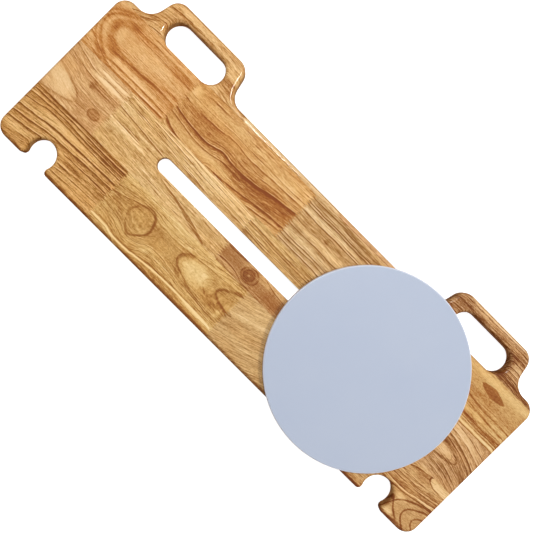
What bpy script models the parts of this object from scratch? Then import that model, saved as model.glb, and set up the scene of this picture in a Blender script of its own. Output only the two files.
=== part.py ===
"""Transfer board with a seat disc that slides along a slot and turns.

The board is a finger-jointed, edge-glued hardwood panel. It has two hand grips
on one long side (+Y) and two keyhole notches on the other (-Y). The disc rides
on a carriage that runs in a slot along the panel: a slide block in the slot, a
retaining plate below it in a routed rebate, and a pivot bolt through both.

Units are metres and +Z is up. The origin lies on the underside, at the centre
of the whole object's footprint at rest. Shapes are worked out in the slot's own
frame, with X along the slot and Y = 0 on its centre line. An empty carries them
from there to the origin.
"""

import math

import bmesh
import bpy
from mathutils import Vector

# Panel
BODY_LENGTH = 0.800
BODY_WIDTH = 0.2515
OVERALL_WIDTH = 0.300
BOARD_THICKNESS = 0.020
CORNER_RADIUS = 0.019
EDGE_ROUND = 0.0055

# Hand grips
GRIP_CENTRES = (-0.2767, 0.2783)
GRIP_BASE_HALF = 0.0772
GRIP_TOP_HALF = 0.0664
GRIP_BASE_RADIUS = 0.025
GRIP_TOP_RADIUS = 0.0195
HAND_HOLE_LENGTH = 0.101
HAND_HOLE_WIDTH = 0.0403
HAND_HOLE_Y = 0.1365

# Keyhole notches
NOTCH_CENTRES = (-0.328, 0.324)
NOTCH_RADIUS = 0.0213
NOTCH_NECK_HALF = 0.0194
NOTCH_DEPTH = 0.0174
NOTCH_LIP_RADIUS = 0.0058

# Slot, and the rebate under it that houses the retaining plate
SLOT_WIDTH = 0.0211
SLOT_LENGTH = 0.4177
SLOT_ROUND = 0.0015
REBATE_WIDTH = 0.0434
REBATE_DEPTH = 0.011
REBATE_CHAMFER = 0.001

# Staves: glue lines along X, and the finger joints in each row
HANDLE_GLUE_Y = 0.1185
UPPER_GLUE_Y = 0.0391
LOWER_GLUE_Y = -0.0405
HANDLE_JOINTS = (-0.165, 0.018, 0.170)
UPPER_JOINTS = (-0.244, -0.024, 0.198)
SLOT_JOINTS = (-0.297, -0.0616, 0.164)
LOWER_JOINTS = (-0.2245, 0.004, 0.226)
FINGER_PITCH = 0.0038
FINGER_LENGTH = 0.006
FINGER_TIP_GAP = 0.0006

# Gap between pieces that touch
GAP = 0.0003

# Seat disc
DISC_RADIUS = 0.142
DISC_THICKNESS = 0.009
DISC_BASE_Z = 0.0214
DISC_TOP_ROUND = 0.0025
DISC_BASE_CHAMFER = 0.001

# Glide ring, let into the disc's underside
RING_OUTER = 0.110
RING_INNER = 0.092
RING_BASE_Z = BOARD_THICKNESS + GAP
RING_TOP_Z = 0.0222

# Thrust washer on the board, below the hub flange
THRUST_RADIUS = 0.020
THRUST_BASE_Z = BOARD_THICKNESS + GAP
THRUST_THICKNESS = 0.001

# Hub flange, let into the disc's underside and screwed to it
FLANGE_RADIUS = 0.035
FLANGE_THICKNESS = 0.004
FLANGE_BASE_Z = THRUST_BASE_Z + THRUST_THICKNESS + GAP
FLANGE_TOP_Z = FLANGE_BASE_Z + FLANGE_THICKNESS

# Retaining plate in the rebate, and the slide block in the slot
PLATE_LENGTH = 0.060
PLATE_WIDTH = 0.042
PLATE_THICKNESS = 0.0033
PLATE_DROP = 0.0004
PLATE_END_PLAY = 0.0005
PLATE_TOP_Z = REBATE_DEPTH - PLATE_DROP
PLATE_BASE_Z = PLATE_TOP_Z - PLATE_THICKNESS
BLOCK_LENGTH = 0.033
BLOCK_WIDTH = SLOT_WIDTH - 2 * GAP
BLOCK_BASE_Z = PLATE_TOP_Z + GAP
BUSH_RADIUS = 0.006

# Pivot bolt, its lower washer and its lock nut
BOLT_RADIUS = 0.004
BOLT_HEAD_RADIUS = 0.0075
BOLT_HEAD_DROP = 0.0002
BOLT_HEAD_TOP_Z = FLANGE_TOP_Z - BOLT_HEAD_DROP
BOLT_END_Z = 0.0009
BOLT_SOCKET = 0.005
BOLT_CLEARANCE = 0.0004
WASHER_RADIUS = 0.008
WASHER_THICKNESS = 0.001
WASHER_BASE_Z = PLATE_BASE_Z - GAP - WASHER_THICKNESS
NUT_ACROSS_FLATS = 0.013
NUT_HEIGHT = 0.0045
NUT_EASING = 0.0006
NUT_BASE_Z = WASHER_BASE_Z - GAP - NUT_HEIGHT

# Countersunk screws: (shank radius, head radius, length, hex socket width)
DISC_SCREW = (0.0020, 0.0040, 0.0066, 0.0025)
DISC_SCREW_COUNT = 4
DISC_SCREW_CIRCLE = 0.024
PLATE_SCREW = (0.0018, 0.0036, 0.0095, 0.0025)
PLATE_SCREW_X = 0.0115
SCREW_CLEARANCE = 0.0003

# Mesh fineness
CORNER_SEGMENTS = 5
NOTCH_SEGMENTS = 14
HOLE_END_SEGMENTS = 8
SLOT_END_SEGMENTS = 8
PLATE_END_SEGMENTS = 12
EDGE_SEGMENTS = 3
DISC_SEGMENTS = 72
RING_SEGMENTS = 48
HUB_SEGMENTS = 36
BOLT_SEGMENTS = 20
SCREW_SEGMENTS = 12
OVERSHOOT = 0.002

# Worked out from the above
HALF_LENGTH = BODY_LENGTH / 2
HALF_WIDTH = BODY_WIDTH / 2
GRIP_TOP_Y = OVERALL_WIDTH - HALF_WIDTH
DISC_REST_X = SLOT_LENGTH / 2 - BLOCK_LENGTH / 2 - GAP
DISC_TOP_Z = DISC_BASE_Z + DISC_THICKNESS
REBATE_LENGTH = 2 * (DISC_REST_X + PLATE_LENGTH / 2 + PLATE_END_PLAY)
SLOT_OFFSET_Y = -(GRIP_TOP_Y - DISC_RADIUS) / 2

# Linear colours
HONEY = (0.66, 0.37, 0.14)
STRAW = (0.68, 0.44, 0.19)
TAN = (0.56, 0.33, 0.14)
BROWN = (0.50, 0.27, 0.10)
RED_BROWN = (0.40, 0.21, 0.10)
LILAC = (0.49, 0.56, 0.69)
WHITE = (0.80, 0.80, 0.77)
STEEL = (0.56, 0.56, 0.57)
BRONZE = (0.55, 0.36, 0.17)


def clear_scene():
    """Remove every object of the start-up scene."""
    for item in list(bpy.data.objects):
        bpy.data.objects.remove(item, do_unlink=True)


def make_material(name, colour, roughness, metallic):
    """A plain Principled material."""
    material = bpy.data.materials.new(name)
    material.use_nodes = True
    shader = material.node_tree.nodes["Principled BSDF"]
    shader.inputs["Base Color"].default_value = (*colour, 1.0)
    shader.inputs["Roughness"].default_value = roughness
    shader.inputs["Metallic"].default_value = metallic
    return material


# ---- Outlines, as lists of (x, y) that run counter-clockwise ----


def arc_points(centre, radius, start, end, segments):
    """Points on an arc from angle start to angle end, both ends included."""
    points = []
    for step in range(segments + 1):
        angle = start + (end - start) * step / segments
        points.append((centre[0] + radius * math.cos(angle), centre[1] + radius * math.sin(angle)))
    return points


def circle_points(radius, segments):
    """Points of a circle round the origin."""
    return arc_points((0, 0), radius, 0, 2 * math.pi * (segments - 1) / segments, segments - 1)


def corner_points(before, corner, after, radius, inset):
    """Rounded corner of an outline that has its material on the left.

    The arc keeps its centre when the outline moves by inset into the material,
    so a corner that turns left gets tighter and one that turns right opens.
    """
    arriving = (Vector(corner) - Vector(before)).normalized()
    leaving = (Vector(after) - Vector(corner)).normalized()
    side = 1 if arriving.cross(leaving) > 0 else -1
    turn = arriving.angle(leaving)
    inward = Vector((-arriving.y, arriving.x)) * side
    centre = Vector(corner) - arriving * radius * math.tan(turn / 2) + inward * radius
    start = math.atan2(-inward.y, -inward.x)
    return arc_points(centre, radius - side * inset, start, start + side * turn, CORNER_SEGMENTS)


def notch_points(centre_x, inset):
    """Keyhole notch in the -Y side: lip, neck, round pocket, neck and lip."""
    lip_x = NOTCH_NECK_HALF + NOTCH_LIP_RADIUS
    lip_y = -HALF_WIDTH + NOTCH_LIP_RADIUS
    lip = NOTCH_LIP_RADIUS - inset
    pocket = NOTCH_RADIUS + inset
    pocket_centre = (centre_x, -HALF_WIDTH + NOTCH_DEPTH)
    neck_angle = math.acos((NOTCH_NECK_HALF + inset) / pocket)
    points = arc_points((centre_x - lip_x, lip_y), lip, -math.pi / 2, 0, CORNER_SEGMENTS)
    points += arc_points(pocket_centre, pocket, math.pi + neck_angle, -neck_angle, NOTCH_SEGMENTS)
    points += arc_points((centre_x + lip_x, lip_y), lip, math.pi, 1.5 * math.pi, CORNER_SEGMENTS)
    return points


def grip_corners(centre_x):
    """Corners of one hand grip, in the order that the outline meets them."""
    return [
        ((centre_x + GRIP_BASE_HALF, HALF_WIDTH), GRIP_BASE_RADIUS),
        ((centre_x + GRIP_TOP_HALF, GRIP_TOP_Y), GRIP_TOP_RADIUS),
        ((centre_x - GRIP_TOP_HALF, GRIP_TOP_Y), GRIP_TOP_RADIUS),
        ((centre_x - GRIP_BASE_HALF, HALF_WIDTH), GRIP_BASE_RADIUS),
    ]


def panel_outline(inset):
    """Outer edge of the panel with its grips and notches."""
    left_grip, right_grip = GRIP_CENTRES
    corners = [
        ((-HALF_LENGTH, -HALF_WIDTH), CORNER_RADIUS),
        ((HALF_LENGTH, -HALF_WIDTH), CORNER_RADIUS),
        ((HALF_LENGTH, HALF_WIDTH), CORNER_RADIUS),
        *grip_corners(right_grip),
        *grip_corners(left_grip),
        ((-HALF_LENGTH, HALF_WIDTH), CORNER_RADIUS),
    ]
    points = []
    for index, (corner, radius) in enumerate(corners):
        before = corners[index - 1][0]
        after = corners[(index + 1) % len(corners)][0]
        points += corner_points(before, corner, after, radius, inset)
        if index == 0:
            for centre_x in NOTCH_CENTRES:
                points += notch_points(centre_x, inset)
    return points


def stadium(length, width, grow, segments, centre=(0.0, 0.0)):
    """Slot shape: two straight sides and two half circles."""
    x, y = centre
    half = (length - width) / 2
    radius = width / 2 + grow
    right = arc_points((x + half, y), radius, -math.pi / 2, math.pi / 2, segments)
    left = arc_points((x - half, y), radius, math.pi / 2, 1.5 * math.pi, segments)
    return right + left


def hexagon(across_flats):
    """Regular hexagon with two sides parallel to X."""
    radius = across_flats / 2 / math.cos(math.pi / 6)
    return circle_points(radius, 6)


def round_steps(radius):
    """Quarter round between a flat face and a wall, as (inset, height) pairs from the face."""
    steps = []
    for step in range(EDGE_SEGMENTS + 1):
        angle = math.pi / 2 * step / EDGE_SEGMENTS
        steps.append((radius * (1 - math.sin(angle)), radius * (1 - math.cos(angle))))
    return steps


# ---- Solids ----


def new_object(name, bm):
    """Object that takes over the bmesh."""
    mesh = bpy.data.meshes.new(name)
    bm.to_mesh(mesh)
    bm.free()
    item = bpy.data.objects.new(name, mesh)
    bpy.context.scene.collection.objects.link(item)
    return item


def loft(name, sections):
    """Closed solid through sections, which are (points, z) pairs from bottom to top."""
    bm = bmesh.new()
    rings = []
    for points, z in sections:
        rings.append([bm.verts.new((x, y, z)) for x, y in points])
    for lower, upper in zip(rings, rings[1:]):
        for here in range(len(lower)):
            after = (here + 1) % len(lower)
            bm.faces.new((lower[here], lower[after], upper[after], upper[here]))
    bm.faces.new(list(reversed(rings[0])))
    bm.faces.new(rings[-1])
    return new_object(name, bm)


def turned(name, profile, segments, hollow=False):
    """Solid of revolution about Z.

    The profile is a list of (radius, z) that goes up on its outer side. A solid
    one starts and ends on the axis, and a hollow one closes on itself.
    """
    bm = bmesh.new()
    rings = []
    for radius, z in profile:
        if radius == 0:
            rings.append([bm.verts.new((0, 0, z))] * segments)
            continue
        circle = circle_points(radius, segments)
        rings.append([bm.verts.new((x, y, z)) for x, y in circle])
    pairs = list(zip(rings, rings[1:]))
    if hollow:
        pairs.append((rings[-1], rings[0]))
    for lower, upper in pairs:
        for here in range(segments):
            after = (here + 1) % segments
            corners = (lower[here], lower[after], upper[after], upper[here])
            bm.faces.new(list(dict.fromkeys(corners)))
    return new_object(name, bm)


def apply_modifiers(item):
    """Replace the object's mesh with its evaluated one."""
    depsgraph = bpy.context.evaluated_depsgraph_get()
    mesh = bpy.data.meshes.new_from_object(item.evaluated_get(depsgraph))
    plain = item.data
    item.modifiers.clear()
    item.data = mesh
    bpy.data.meshes.remove(plain)


def cut(item, cutter, operation="DIFFERENCE"):
    """Apply an exact Boolean with a cutter, and remove the cutter."""
    modifier = item.modifiers.new("cut", "BOOLEAN")
    modifier.operation = operation
    modifier.solver = "EXACT"
    modifier.object = cutter
    apply_modifiers(item)
    bpy.data.objects.remove(cutter, do_unlink=True)


def place(item, parent, colour, roughness, metallic=0.0, location=(0.0, 0.0, 0.0)):
    """Shade a finished piece, give it its material and hang it from an empty."""
    item.data.shade_smooth()
    item.data.set_sharp_from_angle(angle=math.radians(30))
    item.data.materials.clear()
    item.data.materials.append(make_material(item.name, colour, roughness, metallic))
    item.parent = parent
    item.location = location
    return item


# ---- Panel and its staves ----


def hole_cutter(length, width, radius, centre, segments):
    """Cutter for a hole through the panel, with both rims rounded over."""
    steps = round_steps(radius)
    levels = [(radius, -OVERSHOOT)]
    levels += [(grow, height) for grow, height in steps]
    levels += [(grow, BOARD_THICKNESS - height) for grow, height in reversed(steps)]
    levels += [(radius, BOARD_THICKNESS + OVERSHOOT)]
    sections = []
    for grow, z in levels:
        sections.append((stadium(length, width, grow, segments, centre), z))
    return loft("cutter", sections)


def slot_cutter():
    """Cutter for the slot: plain below, with its top rim eased."""
    levels = [(0.0, REBATE_DEPTH - OVERSHOOT)]
    levels += [(grow, BOARD_THICKNESS - height) for grow, height in reversed(round_steps(SLOT_ROUND))]
    levels += [(SLOT_ROUND, BOARD_THICKNESS + OVERSHOOT)]
    sections = []
    for grow, z in levels:
        sections.append((stadium(SLOT_LENGTH, SLOT_WIDTH, grow, SLOT_END_SEGMENTS), z))
    return loft("cutter", sections)


def rebate_cutter():
    """Cutter for the rebate in the underside, with a chamfered rim."""
    levels = [(REBATE_CHAMFER, -OVERSHOOT), (REBATE_CHAMFER, 0.0), (0.0, REBATE_CHAMFER), (0.0, REBATE_DEPTH)]
    sections = []
    for grow, z in levels:
        sections.append((stadium(REBATE_LENGTH, REBATE_WIDTH, grow, SLOT_END_SEGMENTS), z))
    return loft("cutter", sections)


def make_panel():
    """The whole panel as one solid, before it is divided into staves."""
    steps = round_steps(EDGE_ROUND)
    sections = [(panel_outline(inset), height) for inset, height in steps]
    sections += [(panel_outline(inset), BOARD_THICKNESS - height) for inset, height in reversed(steps)]
    panel = loft("panel", sections)
    for centre_x in GRIP_CENTRES:
        centre = (centre_x, HAND_HOLE_Y)
        cut(panel, hole_cutter(HAND_HOLE_LENGTH, HAND_HOLE_WIDTH, EDGE_ROUND, centre, HOLE_END_SEGMENTS))
    cut(panel, slot_cutter())
    cut(panel, rebate_cutter())
    return panel


def finger_offset(y):
    """Triangle wave of the finger joints, from -1 to 1."""
    phase = y / FINGER_PITCH
    return 4 * abs(phase - math.floor(phase + 0.5)) - 1


def finger_edge(joint_x, low, high):
    """Zigzag end of a stave, from low to high."""
    half_pitch = FINGER_PITCH / 2
    first = math.floor(low / half_pitch) + 1
    last = math.ceil(high / half_pitch) - 1
    heights = [low] + [half_pitch * step for step in range(first, last + 1)] + [high]
    return [(joint_x + FINGER_LENGTH / 2 * finger_offset(y), y) for y in heights]


def stave_prism(start, end, low, high):
    """Upright prism that holds one stave; an end of None runs past the panel."""
    low += GAP / 2
    high -= GAP / 2
    beyond = HALF_LENGTH + OVERSHOOT
    if end is None:
        right = [(beyond, low), (beyond, high)]
    else:
        right = finger_edge(end - FINGER_TIP_GAP / 2, low, high)
    if start is None:
        left = [(-beyond, low), (-beyond, high)]
    else:
        left = finger_edge(start + FINGER_TIP_GAP / 2, low, high)
    outline = right + list(reversed(left))
    return loft("cutter", [(outline, -OVERSHOOT), (outline, BOARD_THICKNESS + OVERSHOOT)])


def make_stave(name, panel, span, low, high, colour, parent):
    """One stave: the part of the panel between two joints and two glue lines."""
    stave = bpy.data.objects.new(name, panel.data.copy())
    bpy.context.scene.collection.objects.link(stave)
    cut(stave, stave_prism(*span, low, high), "INTERSECT")
    return place(stave, parent, colour, 0.35)


def make_staves(parent):
    """Four rows of staves; the slot divides the third stave of its row in two."""
    panel = make_panel()
    low_edge = -HALF_WIDTH - OVERSHOOT
    high_edge = GRIP_TOP_Y + OVERSHOOT
    rows = (
        ("handle_stave", HANDLE_JOINTS, HANDLE_GLUE_Y, high_edge, (HONEY, STRAW, STRAW, RED_BROWN)),
        ("upper_stave", UPPER_JOINTS, UPPER_GLUE_Y, HANDLE_GLUE_Y, (HONEY, TAN, TAN, TAN)),
        ("slot_stave", SLOT_JOINTS, LOWER_GLUE_Y, UPPER_GLUE_Y, (HONEY, STRAW, BROWN, BROWN)),
        ("lower_stave", LOWER_JOINTS, low_edge, LOWER_GLUE_Y, (BROWN, TAN, TAN, BROWN)),
    )
    for row, joints, low, high, colours in rows:
        spans = zip((None, *joints), (*joints, None))
        for number, (span, colour) in enumerate(zip(spans, colours), start=1):
            name = f"{row}_{number}"
            if name == "slot_stave_3":
                make_stave(f"{name}_notch_side", panel, span, low, 0.0, colour, parent)
                make_stave(f"{name}_grip_side", panel, span, 0.0, high, STRAW, parent)
            else:
                make_stave(name, panel, span, low, high, colour, parent)
    bpy.data.objects.remove(panel, do_unlink=True)


# ---- Fasteners ----


def screw_profile(screw, base_z, clearance=0.0):
    """Profile of a screw that stands on its countersunk head at base_z."""
    shank, head, length, _ = screw
    shank += clearance
    head += clearance
    end_z = base_z + length + clearance
    start_z = base_z - (OVERSHOOT if clearance else 0.0)
    profile = [(0, start_z), (head, start_z)]
    if clearance:
        profile.append((head, base_z))
    profile += [(shank, base_z + head - shank), (shank, end_z), (0, end_z)]
    return profile


def make_screws(name, screw, base_z, centres, parent):
    """Countersunk socket screws, driven from below."""
    socket = hexagon(screw[3])
    socket_top_z = base_z + screw[3] / 2
    for number, (x, y) in enumerate(centres, start=1):
        body = turned(f"{name}_{number}", screw_profile(screw, base_z), SCREW_SEGMENTS)
        cut(body, loft("cutter", [(socket, base_z - OVERSHOOT), (socket, socket_top_z)]))
        place(body, parent, STEEL, 0.3, 1.0, (x, y, 0.0))


def cut_screw_holes(item, screw, base_z, centres):
    """Countersunk clearance holes for screws that enter from below."""
    for x, y in centres:
        cutter = turned("cutter", screw_profile(screw, base_z, SCREW_CLEARANCE), SCREW_SEGMENTS)
        cutter.location = (x, y, 0)
        cut(item, cutter)


def disc_screw_centres():
    """Places of the screws that hold the hub flange to the disc."""
    centres = []
    for number in range(DISC_SCREW_COUNT):
        angle = 2 * math.pi * (number + 0.5) / DISC_SCREW_COUNT
        centres.append((DISC_SCREW_CIRCLE * math.cos(angle), DISC_SCREW_CIRCLE * math.sin(angle)))
    return centres


PLATE_SCREW_CENTRES = [(-PLATE_SCREW_X, 0.0), (PLATE_SCREW_X, 0.0)]


# ---- Carriage: slides along the slot and doesn't turn ----


def make_slide_block(parent):
    """Block with round ends that fills the slot and carries the bush."""
    outline = stadium(BLOCK_LENGTH, BLOCK_WIDTH, 0.0, SLOT_END_SEGMENTS)
    block = loft("slide_block", [(outline, BLOCK_BASE_Z), (outline, BOARD_THICKNESS)])
    bore = circle_points(BUSH_RADIUS + GAP, BOLT_SEGMENTS)
    cut(block, loft("cutter", [(bore, BLOCK_BASE_Z - OVERSHOOT), (bore, BOARD_THICKNESS + OVERSHOOT)]))
    cut_screw_holes(block, PLATE_SCREW, PLATE_BASE_Z, PLATE_SCREW_CENTRES)
    return place(block, parent, WHITE, 0.45)


def make_bush(parent):
    """Plain bearing bush in the slide block."""
    bore = BOLT_RADIUS + BOLT_CLEARANCE
    profile = [
        (bore, BLOCK_BASE_Z),
        (BUSH_RADIUS, BLOCK_BASE_Z),
        (BUSH_RADIUS, BOARD_THICKNESS),
        (bore, BOARD_THICKNESS),
    ]
    return place(turned("pivot_bush", profile, BOLT_SEGMENTS, hollow=True), parent, BRONZE, 0.35, 1.0)


def make_thrust_washer(parent):
    """Thin washer that the hub flange turns on."""
    bore = BOLT_RADIUS + BOLT_CLEARANCE
    top_z = THRUST_BASE_Z + THRUST_THICKNESS
    profile = [(bore, THRUST_BASE_Z), (THRUST_RADIUS, THRUST_BASE_Z), (THRUST_RADIUS, top_z), (bore, top_z)]
    return place(turned("thrust_washer", profile, HUB_SEGMENTS, hollow=True), parent, WHITE, 0.5)


def make_retaining_plate(parent):
    """Plate under the slot lips that keeps the carriage in the panel."""
    outline = stadium(PLATE_LENGTH, PLATE_WIDTH, 0.0, PLATE_END_SEGMENTS)
    plate = loft("retaining_plate", [(outline, PLATE_BASE_Z), (outline, PLATE_TOP_Z)])
    bore = circle_points(BOLT_RADIUS + BOLT_CLEARANCE, BOLT_SEGMENTS)
    cut(plate, loft("cutter", [(bore, PLATE_BASE_Z - OVERSHOOT), (bore, PLATE_TOP_Z + OVERSHOOT)]))
    cut_screw_holes(plate, PLATE_SCREW, PLATE_BASE_Z, PLATE_SCREW_CENTRES)
    return place(plate, parent, STEEL, 0.35, 1.0)


def make_carriage(parent):
    """Everything that slides without turning."""
    make_slide_block(parent)
    make_bush(parent)
    make_thrust_washer(parent)
    make_retaining_plate(parent)
    make_screws("plate_screw", PLATE_SCREW, PLATE_BASE_Z, PLATE_SCREW_CENTRES, parent)


# ---- Turntable: slides with the carriage and turns on it ----


def make_seat_disc(parent):
    """Disc with a rounded rim, a recess for the hub and a groove for the ring."""
    recess_z = FLANGE_TOP_Z + GAP
    profile = [
        (0, recess_z),
        (FLANGE_RADIUS + GAP, recess_z),
        (FLANGE_RADIUS + GAP, DISC_BASE_Z),
        (RING_INNER - GAP, DISC_BASE_Z),
        (RING_INNER - GAP, RING_TOP_Z + GAP),
        (RING_OUTER + GAP, RING_TOP_Z + GAP),
        (RING_OUTER + GAP, DISC_BASE_Z),
        (DISC_RADIUS - DISC_BASE_CHAMFER, DISC_BASE_Z),
        (DISC_RADIUS, DISC_BASE_Z + DISC_BASE_CHAMFER),
    ]
    rim = [(DISC_RADIUS - inset, DISC_TOP_Z - height) for inset, height in round_steps(DISC_TOP_ROUND)]
    profile += list(reversed(rim))
    profile.append((0, DISC_TOP_Z))
    disc = turned("seat_disc", profile, DISC_SEGMENTS)
    cut_screw_holes(disc, DISC_SCREW, FLANGE_BASE_Z, disc_screw_centres())
    return place(disc, parent, LILAC, 0.4)


def make_glide_ring(parent):
    """Low-friction ring that the disc slides on."""
    profile = [
        (RING_INNER, RING_BASE_Z),
        (RING_OUTER, RING_BASE_Z),
        (RING_OUTER, RING_TOP_Z),
        (RING_INNER, RING_TOP_Z),
    ]
    return place(turned("glide_ring", profile, RING_SEGMENTS, hollow=True), parent, WHITE, 0.5)


def make_hub_flange(parent):
    """Flange with a countersink for the bolt's head."""
    bore = BOLT_RADIUS + BOLT_CLEARANCE
    head = BOLT_HEAD_RADIUS + BOLT_CLEARANCE
    profile = [
        (bore, FLANGE_BASE_Z),
        (FLANGE_RADIUS, FLANGE_BASE_Z),
        (FLANGE_RADIUS, FLANGE_TOP_Z),
        (head, FLANGE_TOP_Z),
        (bore, FLANGE_TOP_Z - (head - bore)),
    ]
    flange = turned("hub_flange", profile, HUB_SEGMENTS, hollow=True)
    cut_screw_holes(flange, DISC_SCREW, FLANGE_BASE_Z, disc_screw_centres())
    return place(flange, parent, STEEL, 0.35, 1.0)


def make_pivot_bolt(parent):
    """Countersunk bolt, head up in the flange, with a hex socket."""
    shank_top = BOLT_HEAD_TOP_Z - (BOLT_HEAD_RADIUS - BOLT_RADIUS)
    profile = [
        (0, BOLT_END_Z),
        (BOLT_RADIUS, BOLT_END_Z),
        (BOLT_RADIUS, shank_top),
        (BOLT_HEAD_RADIUS, BOLT_HEAD_TOP_Z),
        (0, BOLT_HEAD_TOP_Z),
    ]
    bolt = turned("pivot_bolt", profile, BOLT_SEGMENTS)
    socket = hexagon(BOLT_SOCKET)
    floor_z = BOLT_HEAD_TOP_Z - BOLT_SOCKET / 2
    cut(bolt, loft("cutter", [(socket, floor_z), (socket, BOLT_HEAD_TOP_Z + OVERSHOOT)]))
    return place(bolt, parent, STEEL, 0.3, 1.0)


def make_lower_washer(parent):
    """Steel washer between the retaining plate and the nut."""
    bore = BOLT_RADIUS + BOLT_CLEARANCE
    top_z = WASHER_BASE_Z + WASHER_THICKNESS
    profile = [(bore, WASHER_BASE_Z), (WASHER_RADIUS, WASHER_BASE_Z), (WASHER_RADIUS, top_z), (bore, top_z)]
    return place(turned("lower_washer", profile, BOLT_SEGMENTS, hollow=True), parent, STEEL, 0.3, 1.0)


def make_lock_nut(parent):
    """Thin lock nut with its lower corners eased."""
    eased = hexagon(NUT_ACROSS_FLATS - 2 * NUT_EASING)
    full = hexagon(NUT_ACROSS_FLATS)
    top_z = NUT_BASE_Z + NUT_HEIGHT
    nut = loft("lock_nut", [(eased, NUT_BASE_Z), (full, NUT_BASE_Z + NUT_EASING), (full, top_z)])
    bore = circle_points(BOLT_RADIUS + GAP, BOLT_SEGMENTS)
    cut(nut, loft("cutter", [(bore, NUT_BASE_Z - OVERSHOOT), (bore, top_z + OVERSHOOT)]))
    return place(nut, parent, STEEL, 0.3, 1.0)


def make_turntable(parent):
    """Everything that slides and turns."""
    make_seat_disc(parent)
    make_glide_ring(parent)
    make_hub_flange(parent)
    make_screws("disc_screw", DISC_SCREW, FLANGE_BASE_Z, disc_screw_centres(), parent)
    make_pivot_bolt(parent)
    make_lower_washer(parent)
    make_lock_nut(parent)


def make_empty(name, location, parent=None):
    """Empty that marks a frame or a joint's axis."""
    empty = bpy.data.objects.new(name, None)
    bpy.context.scene.collection.objects.link(empty)
    empty.parent = parent
    empty.location = location
    return empty


def main():
    clear_scene()
    slot_frame = make_empty("slot_frame", (0.0, SLOT_OFFSET_Y, 0.0))
    carriage_axis = make_empty("carriage_axis", (DISC_REST_X, 0.0, 0.0), slot_frame)
    make_staves(slot_frame)
    make_carriage(carriage_axis)
    make_turntable(carriage_axis)


main()
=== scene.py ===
"""Looks of the transfer board: a lacquered, finger-jointed panel with a sliding, turning seat disc.

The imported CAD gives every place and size. This script gives each stave its own
figure, the disc and its fittings their finish, and sets the floor, light and camera.
"""

import math

import bmesh
import bpy
from mathutils import Matrix, Vector


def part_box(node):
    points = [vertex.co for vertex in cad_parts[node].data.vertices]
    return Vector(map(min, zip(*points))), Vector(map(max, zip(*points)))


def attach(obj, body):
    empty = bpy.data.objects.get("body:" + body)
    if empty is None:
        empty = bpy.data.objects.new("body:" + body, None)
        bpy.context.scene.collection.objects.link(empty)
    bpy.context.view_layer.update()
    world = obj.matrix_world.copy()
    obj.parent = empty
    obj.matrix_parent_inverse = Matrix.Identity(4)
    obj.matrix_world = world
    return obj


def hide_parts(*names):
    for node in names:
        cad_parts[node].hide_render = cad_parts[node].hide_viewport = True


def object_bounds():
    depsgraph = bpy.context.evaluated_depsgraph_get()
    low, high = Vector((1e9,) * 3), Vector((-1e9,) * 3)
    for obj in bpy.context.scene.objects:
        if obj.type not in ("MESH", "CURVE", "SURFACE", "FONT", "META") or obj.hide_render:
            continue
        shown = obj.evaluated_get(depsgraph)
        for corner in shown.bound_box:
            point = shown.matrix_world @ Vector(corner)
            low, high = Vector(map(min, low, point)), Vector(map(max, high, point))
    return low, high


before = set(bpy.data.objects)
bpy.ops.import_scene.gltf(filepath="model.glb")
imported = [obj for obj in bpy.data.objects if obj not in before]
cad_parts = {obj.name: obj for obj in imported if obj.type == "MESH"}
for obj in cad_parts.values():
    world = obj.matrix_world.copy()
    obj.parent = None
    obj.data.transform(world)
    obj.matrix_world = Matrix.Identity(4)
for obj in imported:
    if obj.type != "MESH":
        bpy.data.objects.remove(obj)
CAD_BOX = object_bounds()

MM = 0.001

# ---- Places and sizes that the frame gives ----

BLOCK_LOW, BLOCK_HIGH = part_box("slide_block")
DISC_LOW, DISC_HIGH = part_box("seat_disc")
FLANGE_LOW, FLANGE_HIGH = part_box("hub_flange")

BOARD_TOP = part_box("slot_stave_2")[1].z
RING_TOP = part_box("glide_ring")[1].z
SLOT_Y = (BLOCK_LOW.y + BLOCK_HIGH.y) / 2
AXIS = Vector(((DISC_LOW.x + DISC_HIGH.x) / 2, (DISC_LOW.y + DISC_HIGH.y) / 2, 0.0))
HALF_LENGTH = CAD_BOX[1].x
HALF_WIDTH = SLOT_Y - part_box("lower_stave_1")[0].y
GRIP_TOP_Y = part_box("handle_stave_1")[1].y - SLOT_Y
CAD_GAP = 0.3 * MM
SLOT_WIDTH = BLOCK_HIGH.y - BLOCK_LOW.y + 2 * CAD_GAP

# ---- Values of the panel's outline, as in the CAD ----

CORNER_RADIUS = 0.019
EDGE_ROUND = 0.0055
GRIP_CENTRES = (-0.2767, 0.2783)
GRIP_BASE_HALF = 0.0772
GRIP_TOP_HALF = 0.0664
GRIP_BASE_RADIUS = 0.025
GRIP_TOP_RADIUS = 0.0195
HAND_HOLE_LENGTH = 0.101
HAND_HOLE_WIDTH = 0.0403
HAND_HOLE_Y = 0.1365
NOTCH_CENTRES = (-0.328, 0.324)
NOTCH_RADIUS = 0.0213
NOTCH_NECK_HALF = 0.0194
NOTCH_DEPTH = 0.0174
NOTCH_LIP_RADIUS = 0.0058
SLOT_LENGTH = 0.4177
SLOT_ROUND = 0.0015
REBATE_WIDTH = 0.0434
REBATE_LENGTH = 0.4451
REBATE_DEPTH = 0.011
REBATE_CHAMFER = 0.001

GLIDE_RING_WIDTH = 0.018
BOLT_RADIUS = 0.004
BOLT_SOCKET = 0.005
BOLT_CLEARANCE = 0.4 * MM
THREAD_PITCH = 1.25 * MM
DISC_SCREWS = ("disc_screw_1", "disc_screw_2", "disc_screw_3", "disc_screw_4")
PLATE_SCREWS = ("plate_screw_1", "plate_screw_2")

DISC_BASE_CHAMFER = 1.0 * MM
DISC_TOP_ROUND = 2.5 * MM
SCREW_SOCKET = 2.5 * MM
SCREW_SOCKET_DEPTH = 1.3 * MM
NUT_BEVEL = 0.9 * MM

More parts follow.
